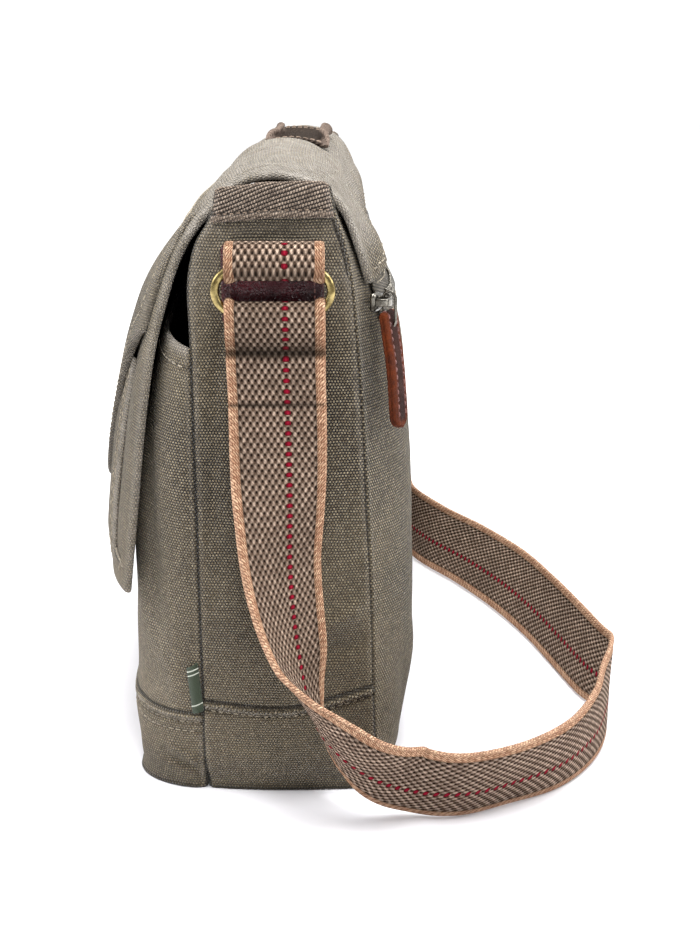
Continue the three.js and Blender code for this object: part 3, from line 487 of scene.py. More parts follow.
def uneven(kind, a, b, shift=0):
    """Uneven heights of a piece of cloth; shift tells its copies apart."""
    return sum(height * waves(a, b, size, seed + shift) for height, size, seed in WAVES[kind])


def folds(rows, a, b):
    """Sum of soft ridges and dents on a piece of cloth."""
    total = np.zeros(np.broadcast(a, b).shape)
    for place_a, place_b, turn, half_length, half_width, height in zip(*rows.values()):
        c, s = math.cos(math.radians(turn)), math.sin(math.radians(turn))
        along = (a - place_a) * c + (b - place_b) * s
        across = (b - place_b) * c - (a - place_a) * s
        total += height * np.exp(-(across / half_width) ** 2 - (along / half_length) ** 4)
    return total


def marks(sheet, kind):
    """Sum of the ridges and grooves along the edges of a sheet."""
    rows = MARKS[kind]
    return sum(height * ridge(getattr(sheet, edge), place, half) for edge, place, half, height in rows)


def rolled(distance, width, depth):
    """How far cloth turns in towards a seam, within a width of its edge."""
    return -depth * np.clip(1 - distance / width, 0, 1) ** 2


def mirrored(points, side):
    return points * np.array((side, 1, 1))


# Meshes. A ring of a small bar has a place along it, a lift and a radius, as shares of its sizes.
RIM_STEPS = 4
RIM_WEAR = 0.2
RING_COLUMNS = "along lift radius"
STITCH_RINGS = table(RING_COLUMNS, (
    (-0.5, -0.9, 0.5),
    (-0.36, 0.1, 0.9),
    (0, 0.45, 1),
    (0.36, 0.1, 0.9),
    (0.5, -0.9, 0.5),
))
STITCH_SIDES = 6


def make_object(name, vertices, faces, uv=None, wear=None):
    mesh = bpy.data.meshes.new(name)
    mesh.from_pydata((vertices * MM).tolist(), [], faces)
    mesh.shade_smooth()
    if uv is not None:
        loops = np.empty(len(mesh.loops), int)
        mesh.loops.foreach_get("vertex_index", loops)
        mesh.uv_layers.new(name="UVMap").data.foreach_set("uv", (uv[loops] * MM).astype(np.float32).ravel())
    # The wear attribute also carries the light and shade painted onto the pieces.
    if wear is not None:
        layer = mesh.attributes.new("wear", "FLOAT", "POINT")
        layer.data.foreach_set("value", np.clip(wear, -1, 1).astype(np.float32))
    piece = bpy.data.objects.new(name, mesh)
    bpy.context.scene.collection.objects.link(piece)
    return piece


def dress(piece, look, *nodes):
    """Gives a piece its material and its body, and hides the solids that it stands for."""
    material, slot = look
    piece.data.materials.append(material)
    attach(piece, "root")
    if nodes:
        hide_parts(*nodes)
    return piece


class Sheet:
    """Grid of points on a piece of cloth or leather, with its normals and the distances to its edges."""

    def __init__(self, points, middle=BAG_MIDDLE):
        self.points = points
        self.across = unit(np.gradient(points, axis=0))
        self.along = unit(np.gradient(points, axis=1))
        normal = unit(np.cross(self.across, self.along))
        self.sign = 1 if middle is None or np.sum(normal * (points - middle)) > 0 else -1
        self.normal = normal * self.sign
        self.x, self.y, self.z = np.moveaxis(points, -1, 0)
        self.start = lengths_along(points)
        self.end = self.start[-1:] - self.start
        self.low = lengths_along(points.swapaxes(0, 1)).T
        self.high = self.low[:, -1:] - self.low
        self.sides = np.minimum(self.start, self.end)
        self.loose = np.minimum(self.sides, self.high)
        self.rim = np.minimum(self.loose, self.low)
        self.skin = points

    def shell(self, name, look, node, thickness, relief=0.0, wear=0.0, uv=None):
        """Closed mesh with a rounded rim, which stands for a node."""
        columns, rows = shape = self.points.shape[:2]
        thickness, relief, wear = (
            np.broadcast_to(np.asarray(value, float), shape)[..., None]
            for value in (thickness, relief, wear))
        self.skin = outer = self.points + self.normal * relief
        inner = outer - self.normal * thickness
        if uv is None:
            uv = (self.start - self.start[columns // 2], self.low - self.low[:, rows // 2][:, None])
        uv = points_of(*uv)
        index = np.arange(columns * rows).reshape(shape)
        border = np.concatenate([index[:, 0], index[-1, 1:], index[-2::-1, -1], index[0, -2:0:-1]])
        away = np.zeros((*shape, 2))
        away[:, 0, 1] -= 1
        away[:, -1, 1] += 1
        away[0, :, 0] -= 1
        away[-1, :, 0] += 1
        across, along, away, top, bottom, rim_uv, rim_wear_and_painted_light = (
            values.reshape(columns * rows, -1)[border]
            for values in (self.across, self.along, away, outer, inner, uv, wear))
        away = unit(away)
        out = unit(away[:, :1] * across + away[:, 1:] * along)
        centre, half = (top + bottom) / 2, (top - bottom) / 2
        radius = np.linalg.norm(half, axis=1, keepdims=True)
        vertices = [outer.reshape(-1, 3), inner.reshape(-1, 3)]
        uvs = [uv.reshape(-1, 2)] * 2
        wear_and_painted_light_parts = [wear.reshape(-1, 1)] * 2
        rings = [border]
        for step in range(1, RIM_STEPS):
            angle = math.pi * step / RIM_STEPS
            rings.append(2 * index.size + (step - 1) * len(border) + np.arange(len(border)))
            vertices.append(centre + half * math.cos(angle) + out * radius * math.sin(angle))
            uvs.append(rim_uv + away * radius * angle)
            wear_and_painted_light_parts.append(rim_wear_and_painted_light + RIM_WEAR)
        rings.append(border + index.size)
        face = np.stack([index[:-1, :-1], index[1:, :-1], index[1:, 1:], index[:-1, 1:]], -1).reshape(-1, 4)
        faces = [face, face[:, ::-1] + index.size]
        for ring, following in zip(rings, rings[1:]):
            faces.append(np.stack([np.roll(ring, -1), ring, following, np.roll(following, -1)], 1))
        faces = np.concatenate(faces)[:, ::self.sign].tolist()
        uvs, wear_and_painted_light_parts = np.concatenate(uvs), np.concatenate(wear_and_painted_light_parts).ravel()
        return dress(make_object(name, np.concatenate(vertices), faces, uvs, wear_and_painted_light_parts), look, *node.split())

    def line(self, side, inset):
        """Points and normals of the outer skin along one side, at a distance from it."""
        grids = (getattr(self, side), self.skin, self.normal)
        if side in ("start", "end"):
            grids = [grid.swapaxes(0, 1) for grid in grids]
        if side in ("end", "high"):
            grids = [grid[:, ::-1] for grid in grids]
        distance, *values = grids
        return [np.array([sampled(inset, *row) for row in zip(distance, value)]) for value in values]

    def lines(self, sides, insets, free):
        """Lines for stitches along some sides; free is the length without any at both ends."""
        return [(*self.line(side, inset), free) for side in sides.split() for inset in insets]


def beads(name, centres, along, up, rings, length, width, height, sides):
    """Small rounded bars in one mesh, from rows of rings along each bar."""
    angle = 2 * math.pi * np.arange(sides)[:, None] / sides
    side = np.cross(along, up)
    spokes = width / 2 * np.cos(angle) * side[:, None] + height / 2 * np.sin(angle) * up[:, None]
    vertices = np.stack([
        (centres + along * share * length + up * lift * height / 2)[:, None] + radius * spokes
        for share, lift, radius in zip(*rings.values())
    ], axis=1)
    index = np.arange(vertices.size // 3).reshape(vertices.shape[:3])
    here, over = index[:, :-1], index[:, 1:]
    quads = np.stack([here, over, np.roll(over, -1, axis=2), np.roll(here, -1, axis=2)], -1).reshape(-1, 4)
    caps = np.concatenate([index[:, 0], index[:, -1, ::-1]])
    return make_object(name, vertices.reshape(-1, 3), quads.tolist() + caps.tolist())


def stitches(name, lines, look, pitch=3.2, length=2.5, radius=0.36):
    """Rows of sewn stitches; each line has points, normals and how much is left free at its two ends."""
    bars = []
    for points, normals, free in lines:
        place = lengths_along(points)
        where = np.arange(free + pitch / 2, place[-1] - free, pitch)
        before, at, after = (sampled(where + shift * pitch, place, points) for shift in (-0.25, 0, 0.25))
        along = unit(after - before)
        bars.append((at, along, square_to(along, sampled(where, place, normals))))
    bars = [np.concatenate(parts) for parts in zip(*bars)]
    return dress(beads(name, *bars, STITCH_RINGS, length, 2 * radius, 2 * radius, STITCH_SIDES), look)


def wire(name, points, across, radius, sides):
    """Closed wire round a flat loop; across is square to the loop's plane."""
    tangent = unit(np.roll(points, -1, axis=0) - np.roll(points, 1, axis=0))
    outward = np.cross(tangent, across)
    angles = 2 * math.pi * np.arange(sides) / sides
    spokes = outward[:, None] * np.cos(angles)[None, :, None] + across * np.sin(angles)[None, :, None]
    vertices = (points[:, None] + radius * spokes).reshape(-1, 3)
    index = np.arange(len(vertices)).reshape(len(points), sides)
    after, turned = np.roll(index, -1, axis=0), np.roll(index, -1, axis=1)
    faces = np.stack([index, after, np.roll(after, -1, axis=1), turned], -1).reshape(-1, 4)
    return make_object(name, vertices, faces.tolist())


def slot_points(straight, radius, steps):
    """Places round a slot shape: along it and out of its middle line."""
    angle = np.linspace(math.pi / 2, -math.pi / 2, steps + 1)
    along = straight + radius * np.cos(angle)
    out = radius * np.sin(angle)
    return np.concatenate([along, -along]), np.concatenate([out, -out])


# Materials, in metres
class Value:
    """Output of a node, which takes plain arithmetic."""

    def __init__(self, nodes, socket):
        self.nodes = nodes
        self.socket = socket

    def of(self, operation, *others):
        return self.nodes.math(operation, self, *others)

    def __add__(self, other):
        return self.of("ADD", other)

    def __sub__(self, other):
        return self.of("SUBTRACT", other)

    def __rsub__(self, other):
        return self.nodes.math("SUBTRACT", other, self)

    def __mul__(self, other):
        return self.of("MULTIPLY", other)

    def __truediv__(self, other):
        return self.of("DIVIDE", other)

    def range(self, low, high, to_low=0.0, to_high=1.0):
        """The value carried over from one range to another, and kept inside it."""
        inputs = {0: self, 1: low, 2: high, 3: to_low, 4: to_high}
        return self.nodes.add("ShaderNodeMapRange", inputs, clamp=True)


class Nodes:
    """Short way to write the nodes of one material."""

    def __init__(self, name):
        self.material = bpy.data.materials.new(name)
        self.material.use_nodes = True
        self.tree = self.material.node_tree
        self.shader = self.tree.nodes["Principled BSDF"]

    def put(self, socket, value):
        if isinstance(value, Value):
            self.tree.links.new(value.socket, socket)
        else:
            socket.default_value = value

    def add(self, kind, inputs, output=0, **settings):
        node = self.tree.nodes.new(kind)
        for key, value in settings.items():
            setattr(node, key, value)
        for key, value in inputs.items():
            self.put(node.inputs[key], value)
        return Value(self, node.outputs[output])

    def math(self, operation, *values):
        return self.add("ShaderNodeMath", dict(enumerate(values)), operation=operation)

    def mix(self, share, a, b, blend="MIX"):
        inputs = {0: share, 6: a, 7: b}
        return self.add("ShaderNodeMix", inputs, 2, data_type="RGBA", blend_type=blend)

    def uv(self):
        place = self.add("ShaderNodeUVMap", {}, uv_map="UVMap")
        return [self.add("ShaderNodeSeparateXYZ", {0: place}, output) for output in (0, 1)]

    def place(self):
        return self.add("ShaderNodeTexCoord", {}, "Object")

    def noise(self, scale, detail=3.0):
        inputs = {"Vector": self.place(), "Scale": scale, "Detail": detail, "Roughness": NOISE_ROUGHNESS}
        return self.add("ShaderNodeTexNoise", inputs)

    def random(self, a, b):
        vector = self.add("ShaderNodeCombineXYZ", {0: a, 1: b})
        return self.add("ShaderNodeTexWhiteNoise", {"Vector": vector}, noise_dimensions="2D")

    def wear(self):
        return self.add("ShaderNodeAttribute", {}, "Fac", attribute_name="wear")

    def bump(self, height, distance):
        inputs = {"Height": height, "Distance": distance, "Strength": 1.0}
        self.put(self.shader.inputs["Normal"], self.add("ShaderNodeBump", inputs))

    def bricks(self, u, v, pitch, row_pitch):
        """Bumps of a weave in offset rows: their height, and the column and row that they are in."""
        row = v / row_pitch
        row_number = row.of("FLOOR")
        column = u / pitch + row_number.of("FLOORED_MODULO", 2.0) * 0.5
        column_number = column.of("FLOOR")
        across, down = (((place - number - 0.5) * math.pi).of("COSINE")
                        for place, number in ((column, column_number), (row, row_number)))
        return across * down, column_number, row_number

    def checks(self, u, v, pitch, row_pitch):
        """Raised and sunk spots of a coarse weave, from 1 to -1, in the places of the bricks."""
        across = (u * (2 * math.pi / pitch)).of("COSINE")
        down = (v * (math.pi / row_pitch)).of("SINE")
        return across * down * -1.0

    def aged(self, colour, faded):
        """Colour paler where a piece is worn and where light is painted on, darker where shade is painted
        into its seams, grooves and hollows, and darker towards its foot.
        """
        wear = self.wear()
        patchy = self.noise(WEAR_PATCHES).range(0.3, 0.7, 0.4, 1.0)
        colour = self.mix(wear.range(0.0, 1.0, 0.0, 0.85) * patchy, colour, faded)
        return self.mix(wear.range(-1.0, 0.0, 0.8, 0.0), colour, PAINTED_SHADE_COLOUR)

    def mottled(self, colour, darkest, palest):
        """Colour that varies a little from fibre to fibre."""
        shade = self.noise(FIBRES, 2.0).range(0.25, 0.75, darkest, palest)
        grey = self.add("ShaderNodeCombineColor", {0: shade, 1: shade, 2: shade})
        return self.mix(1.0, colour, grey, "MULTIPLY")

    def finish(self, **values):
        for key, value in values.items():
            self.put(self.shader.inputs[key.replace("_", " ")], value)
        return self.material


def rgb(red, green, blue):
    """Linear colour from the usual 0 to 255 values."""
    def linear(value):
        share = value / 255
        return share / 12.92 if share <= 0.04045 else ((share + 0.055) / 1.055) ** 2.4
    return linear(red), linear(green), linear(blue), 1.0


# Sizes of noise, in features a metre
NOISE_ROUGHNESS = 0.55
FADING = 9.0
SOILING = 30.0
THREAD_DRIFT = 55.0
WEAR_PATCHES = 160.0
FIBRES = 420.0
FUZZ = 1400.0

# Pitches of the weaves. The marked strap has red bumps in one column and a selvedge from a distance out.
CANVAS_PITCH = (0.00124, 0.00117)
CANVAS_DRIFT = CANVAS_PITCH[0] * 1.2
WEBBING_PITCH = (0.00265, 0.0021)
STRAND_TURNS = 5200.0
STRAND_SLANT = 0.8
MARK_COLUMN = -2.0
SELVEDGE_START = 0.0152
SELVEDGE_PITCH = (0.0021, 0.0013)
SELVEDGE_SLANT = 0.6
RIB_PITCH = 1.5
RIB_SLOPE = 0.3
TAPE_PITCH = (0.0011, RIB_PITCH * MM)
LABEL_PITCH = (0.0005, 0.0005)
LABEL_LINES = (-0.0074, 0.0066, 0.0086)
LABEL_LINE_HALF_WIDTH = 0.00028

# Pale cloth for wear and painted light, and near-black cloth for painted shade
FADED_AND_LIT = rgb(184, 176, 166)
PAINTED_SHADE_COLOUR = rgb(26, 21, 16)
DARK_RED = rgb(90, 10, 24)
RED = rgb(150, 24, 46)
SELVEDGE_GAP = rgb(118, 78, 56)
SELVEDGE_TAN = rgb(176, 134, 107)
SELVEDGE_PALE = rgb(222, 184, 152)
WORN_LEATHER = rgb(100, 45, 19)
LABEL_GAP = rgb(20, 28, 17)
FLOOR_NEAR_SHADE = rgb(226, 225, 229)
FLOOR_FAR = rgb(251, 251, 251)


def canvas_material(name, thread, pale, gap):
    """Plain-woven washed canvas: bumps of thread of uneven tone, soft fading, wear, and painted light and
    shade.
    """
    n = Nodes(name)
    u, v = n.uv()
    drift = (n.noise(THREAD_DRIFT, 2.0) - 0.5) * CANVAS_DRIFT
    height, column, row = n.bricks(u + drift, v + drift, *CANVAS_PITCH)
    fleck = n.random(column, row)
    yarn = n.mix(fleck.range(0.0, 1.0, 0.1, 0.85), thread, pale)
    colour = n.mix(height.range(0.28, 0.75), gap, yarn)
    colour = n.mix(n.noise(FADING, 4.0).range(0.35, 0.75, 0.0, 0.3), colour, pale)
    colour = n.mottled(n.aged(colour, FADED_AND_LIT), 0.72, 1.17)
    n.bump(height * fleck.range(0.0, 1.0, 0.7, 1.2) + n.noise(FUZZ, 2.0) * 0.5, 0.0013)
    return n.finish(Base_Color=colour, Roughness=0.94, Sheen_Weight=0.2, Sheen_Roughness=0.4,
                    Specular_IOR_Level=0.2)


def webbing_material(name, thread, pale, gap, marked):
    """Heavy woven strap: offset bumps, and on the marked one tan selvedges and a line of red bumps."""
    n = Nodes(name)
    u, v = n.uv()
    bump, column, row = n.bricks(u, v, *WEBBING_PITCH)
    check = n.checks(u, v, *WEBBING_PITCH)
    height = check.range(-0.7, 0.8)
    # Each bump gets a painted highlight on its upper side, as if lit from above.
    highlight_side = n.checks(u, v - WEBBING_PITCH[1] * 0.25, *WEBBING_PITCH)
    lit = highlight_side.range(-0.3, 0.8) * n.random(column, row).range(0.0, 1.0, 0.5, 1.0)
    strand = ((u + v * STRAND_SLANT) * STRAND_TURNS).of("SINE")
    yarn = n.mix(strand.range(0.2, 1.0, 0.0, 0.3), n.mix(lit, thread, pale), gap)
    colour = n.mix(check.range(-0.9, -0.4), gap, yarn)
    colour = n.mix(n.noise(SOILING).range(0.45, 0.8, 0.0, 0.25), colour, gap)
    if marked:
        even_row = row.of("FLOORED_MODULO", 2.0).of("LESS_THAN", 0.5)
        mark = even_row * column.of("COMPARE", MARK_COLUMN, 0.1)
        red = n.mix(bump.range(0.2, 0.85), DARK_RED, RED)
        colour = n.mix(mark * bump.range(0.03, 0.2), colour, red)
        from_middle = u.of("ABSOLUTE")
        border = from_middle.of("GREATER_THAN", SELVEDGE_START)
        rim, rim_column, rim_row = n.bricks(u, v + from_middle * SELVEDGE_SLANT, *SELVEDGE_PITCH)
        rim_yarn = n.mix(n.random(rim_column, rim_row), SELVEDGE_TAN, SELVEDGE_PALE)
        colour = n.mix(border, colour, n.mix(rim.range(0.0, 0.5), SELVEDGE_GAP, rim_yarn))
        height = height * (1.0 - border) + rim * 0.5 * border
    colour = n.mottled(n.aged(colour, pale), 0.85, 1.12)
    n.bump(height + n.noise(1600.0, 2.0) * 0.3, 0.0013)
    return n.finish(Base_Color=colour, Roughness=0.9, Specular_IOR_Level=0.05)


def tape_material(name, thread, pale, gap):
    """Twill tape with fine slanting ribs."""
    n = Nodes(name)
    u, v = n.uv()
    height, column, row = n.bricks(u, v + u * -RIB_SLOPE, *TAPE_PITCH)
    colour = n.mix(height.range(0.15, 0.8), gap, n.mix(n.random(column, row), thread, pale))
    n.bump(height + n.noise(FUZZ, 2.0) * 0.4, 0.0006)
    return n.finish(Base_Color=n.aged(colour, pale), Roughness=0.93, Sheen_Weight=0.15,
                    Specular_IOR_Level=0.2)


def leather_material(name, skin, dark, gloss, shine):
    """Leather with grain, uneven dye and edges that have worn pale."""
    n = Nodes(name)
    cells = {"Vector": n.place(), "Scale": 900.0}
    grain = n.add("ShaderNodeTexVoronoi", cells, feature="DISTANCE_TO_EDGE")
    colour = n.mix(n.noise(70.0, 4.0).range(0.3, 0.7), dark, skin)
    worn = n.wear() * n.noise(240.0).range(0.3, 0.65, 0.3, 1.0)
    colour = n.mix(worn * 0.85, colour, WORN_LEATHER)
    n.bump(grain.range(0.0, 0.16) + n.noise(300.0, 4.0), 0.00022)
    rough = n.noise(110.0).range(0.3, 0.7, gloss, gloss + 0.2)
    return n.finish(Base_Color=colour, Roughness=rough, Specular_IOR_Level=shine)


def metal_material(name, bright, dull, low, high):
    """Metal with a worn bright face and duller patches."""
    n = Nodes(name)
    patch = n.noise(260.0, 4.0)
    n.bump(n.noise(1500.0, 2.0), 0.00003)
    rough = patch.range(0.35, 0.7, low, high)
    return n.finish(Base_Color=n.mix(patch.range(0.4, 0.7), bright, dull), Metallic=1.0, Roughness=rough)


def thread_material(name, light, dark):
    n = Nodes(name)
    colour = n.mix(n.noise(500.0, 2.0).range(0.35, 0.65), dark, light)
    n.bump(n.noise(2600.0, 1.0), 0.00008)
    return n.finish(Base_Color=colour, Roughness=0.85, Sheen_Weight=0.2)


def label_material(name, green, pale):
    """Fine woven tape with pale lines near its ends."""
    n = Nodes(name)
    u, v = n.uv()
    height = n.bricks(u, v, *LABEL_PITCH)[0]
    line = 0.0
    for place in LABEL_LINES:
        line = n.math("MAXIMUM", line, (v - place).of("ABSOLUTE").of("LESS_THAN", LABEL_LINE_HALF_WIDTH))
    colour = n.mix(height.range(0.0, 0.8, 0.55, 1.0), LABEL_GAP, green)
    n.bump(height, 0.00015)
    return n.finish(Base_Color=n.mix(line * 0.85, colour, pale), Roughness=0.85, Sheen_Weight=0.2)


def floor_material():
    n = Nodes("floor")
    # The floor is painted darker near the bag, as a falloff of the light.
    distance = n.add("ShaderNodeVectorMath", {0: n.place()}, "Value", operation="LENGTH")
    return n.finish(Base_Color=n.mix(distance.range(0.2, 0.55), FLOOR_NEAR_SHADE, FLOOR_FAR), Roughness=0.9)


# Looks: a material, and the slot of the record that it stands for
CANVAS_LOOK = (canvas_material("canvas", rgb(102, 89, 67), rgb(188, 171, 140), rgb(17, 12, 8)), "canvas")
TAPE_LOOK = (tape_material("twill_tape", rgb(112, 96, 83), rgb(172, 154, 137), rgb(46, 37, 31)), "twill_tape")
ZIP_TAPE_LOOK = (tape_material("zip_tape", rgb(96, 88, 76), rgb(120, 112, 98), rgb(40, 36, 30)), "zip_tape")
STRAP_LOOK = (
    webbing_material("webbing", rgb(90, 72, 60), rgb(208, 183, 163), rgb(24, 17, 13), True),
    "webbing")
HANDLE_LOOK = (
    webbing_material("handle_webbing", rgb(88, 74, 66), rgb(146, 130, 118), rgb(36, 27, 22), False),
    "webbing")
MAROON_LOOK = (
    leather_material("maroon_leather", rgb(76, 18, 28), rgb(32, 8, 13), 0.18, 0.35),
    "dark_leather")
BROWN_LOOK = (leather_material("brown_leather", rgb(60, 34, 28), rgb(36, 20, 17), 0.5, 0.06), "brown_leather")
BRASS_LOOK = (metal_material("brass", rgb(164, 147, 100), rgb(88, 75, 43), 0.14, 0.34), "brass")
NICKEL_LOOK = (metal_material("nickel", rgb(128, 124, 116), rgb(52, 48, 42), 0.16, 0.36), "nickel")
LABEL_LOOK = (label_material("label_cloth", rgb(44, 57, 34), rgb(206, 210, 196)), "label_cloth")
PALE_THREAD = thread_material("canvas_thread", rgb(164, 153, 134), rgb(116, 106, 90))
DARK_THREAD = thread_material("leather_thread", rgb(128, 84, 78), rgb(84, 48, 46))
TAN_THREAD = thread_material("webbing_thread", rgb(150, 130, 112), rgb(110, 92, 78))


# Main compartment. A roll is the width over which cloth turns in at an edge, and its depth.
SEAM_ROLL = (1.2, 1.0)
BAND_ROLL = (1.4, 0.9)
FOOT_ROLL = (6, -1.4)
EDGE_ROLL = (4, 1)
LEATHER_ROLL = (2, 0.5)
BAND_PUCKER = 1.9
BAND_SWELL = 0.5
BAND_SWELL_START = (2, 9)
BAND_LINE = 4
SECOND_BAND_LINE = 8.4
END_SINK = 0.2
FOLD_MARGIN = (1, 14)
# Darkening towards the foot, and a painted contact shadow along the lowest millimetres
LOW_DARKENING = 0.17
LOW_DARKENING_RANGE = (30, 190)
FLOOR_CONTACT_SHADOW = (0, 2.2)
# The top of each end panel is painted paler, as light falling on it from above.
PAINTED_TOP_LIGHT = 0.2
PAINTED_TOP_LIGHT_RANGE = (195, 232)
# Each end band is painted paler at the front, as light from that side, and darker at the back, as the strap's
# shade.
FRONT_LIGHT_BACK_SHADE = 0.08
FRONT_LIGHT_BACK_SHADE_RANGE = (2, 55)


def low_darkening(height):
    """Colour darker towards the foot of the bag, and a painted contact shadow along the cloth where it meets
    the floor.
    """
    return -LOW_DARKENING * fade_out(height, *LOW_DARKENING_RANGE) - 1.1 * ridge(height, *FLOOR_CONTACT_SHADOW)


def sewn_ridge(sheet, place, height, gather):
    """Ridge along the top of a band, gathered by its stitches: its relief, and its wear, pale on the gathered
    crests, with painted shade in the dips between them.
    """
    pucker = 1 + 0.5 * np.sin(2 * math.pi * (place + sheet.high) / BAND_PUCKER)
    relief = height * ridge(sheet.high, 1.7, 1.0) * lerp(1, pucker, gather)
    return relief, 1.5 * ridge(sheet.high, 1.8, 0.8) * (pucker - 0.65)


def end_panel(word, side):
    across = graded(1, 0.005, 0.02, 0.04)[:, None]
    up = graded(1, 0.003, 0.008, 0.02)[None, :]
    z = lerp(band_seam_z(across) + GAP / 2, END_TOP - crown_drop(across), up)
    sheet = Sheet(mirrored(end_point(across, z), side))
    y, z = sheet.y, sheet.z
    relief = uneven("end_panel", y, z, side) + folds(END_FOLDS, y, z) * smoothstep(sheet.rim, 0, 8)
    relief += rolled(sheet.sides, *SEAM_ROLL) + rolled(sheet.low, *BAND_ROLL) - END_SINK
    # Wear and painted shade along the edges, darker low down, and painted light near the top.
    wear = marks(sheet, "end_panel_wear") + low_darkening(z) + PAINTED_TOP_LIGHT * smoothstep(z, *PAINTED_TOP_LIGHT_RANGE)
    name = f"end_panel_cloth_{word}"
    sheet.shell(name, CANVAS_LOOK, f"end_panel_{word}", CANVAS - 0.4, relief, wear, (y * side, z))


def end_band(word, side):
    """Lower band of an end, and its line of stitches."""
    across = np.linspace(0, 1, 270)[:, None]
    up = graded(1, 0.012, 0.05, 0.14)[None, :]
    z = lerp(FOOT_LIFT, band_seam_z(across) - GAP / 2, up)
    sheet = Sheet(mirrored(end_point(across, z), side))
    y, z = sheet.y, sheet.z
    crest, crest_wear_and_shade = sewn_ridge(sheet, y * side, 1.3, 1)
    relief = BAND_SWELL + uneven("end_band", y, z, side) + folds(BAND_FOLDS, y, z)
    relief = relief * smoothstep(sheet.high, *BAND_SWELL_START) + crest + marks(sheet, "end_band")
    relief += rolled(sheet.sides, *SEAM_ROLL) + rolled(sheet.low, *FOOT_ROLL)
    # Wear and painted shade along the seams and stitch line, pale crests with painted shade between the
    # gathers, darker low down with a painted contact shadow at the foot, and painted light at the front
    # turning to painted shade at the back.
    wear = marks(sheet, "end_band_wear") + crest_wear_and_shade + low_darkening(z)
    wear += lerp(FRONT_LIGHT_BACK_SHADE, -FRONT_LIGHT_BACK_SHADE, smoothstep(sheet.start, *FRONT_LIGHT_BACK_SHADE_RANGE))
    name = f"end_band_cloth_{word}"
    sheet.shell(name, CANVAS_LOOK, f"end_band_{word}", CANVAS - 0.4, relief, wear, (y * side, z * 1.03))
    return sheet.lines("high", (BAND_LINE,), 3)


def end_pieces():
    lines = []
    for word, side in ENDS:
        end_panel(word, side)
        lines += end_band(word, side)
    stitches("end_band_stitches", lines, (PALE_THREAD, "canvas"))


def front_and_bottom():
    share = np.linspace(-1, 1, 70)[:, None]
    z = np.linspace(BOTTOM_THICKNESS + GAP, FRONT_TOP, 50)[None, :]
    sheet = Sheet(front_point(share, z))
    relief = uneven("front_panel", sheet.start, sheet.low) - 0.5 + marks(sheet, "front_panel")
    sheet.shell("front_panel_cloth", CANVAS_LOOK, "front_panel", CANVAS - 0.3, relief)

    x = np.linspace(-1, 1, 100)[:, None] * (end_x(BOTTOM_THICKNESS) - 3.5)
    front = np.full_like(x, front_y(BOTTOM_THICKNESS) + 2.5)
    back = back_point(x, np.full_like(x, BOTTOM_THICKNESS + GAP))[..., 1] - 3.5
    sheet = Sheet(points_of(x, lerp(front, back, np.linspace(0, 1, 16)[None, :]), FLOOR_CLEARANCE))
    relief = uneven("bottom", sheet.start, sheet.low) - 0.15
    sheet.shell("bottom_cloth", CANVAS_LOOK, "bottom_panel", 2, relief, marks(sheet, "bottom_wear"))


def back_piece():
    share = (2 * graded(1, 0.001, 0.007, 0.012) - 1)[:, None]
    z = lerp(FOOT_LIFT, BACK_TOP, graded(1, 0.004, 0.01, 0.04))[None, :]
    sheet = Sheet(back_point(share * end_x(z), z))
    relief = uneven("back_panel", sheet.x, sheet.z) + folds(BACK_FOLDS, sheet.x, sheet.z) - 0.4
    relief = relief * smoothstep(sheet.rim, *FOLD_MARGIN) * fade_out(sheet.z, 185, 200)
    relief += rolled(sheet.sides, *SEAM_ROLL) + rolled(sheet.low, *FOOT_ROLL)
    # Wear and painted shade along the seams, darker low down, and a painted contact shadow at the foot.
    wear = marks(sheet, "back_panel_wear_and_shade") + low_darkening(sheet.z)
    sheet.shell("back_panel_cloth", CANVAS_LOOK, "back_panel", CANVAS - 0.4, relief, wear)


# Binding of the top edges. A crest is a lump under the tape: its place, half sizes and height.
BINDING = {"outer_foot": 245.6, "inner_foot": 247, "front": 0.0, "back": 0.98, "rib": 0.3}
BINDING_MIDDLE = np.array((150.0, -12, 240))
BINDING_END_ROLL = (2.4, 1)
BINDING_CRESTS = table("y half_length half_width height", ((0, 9, 5, 1.1), (-26, 6, 4, 0.4)))


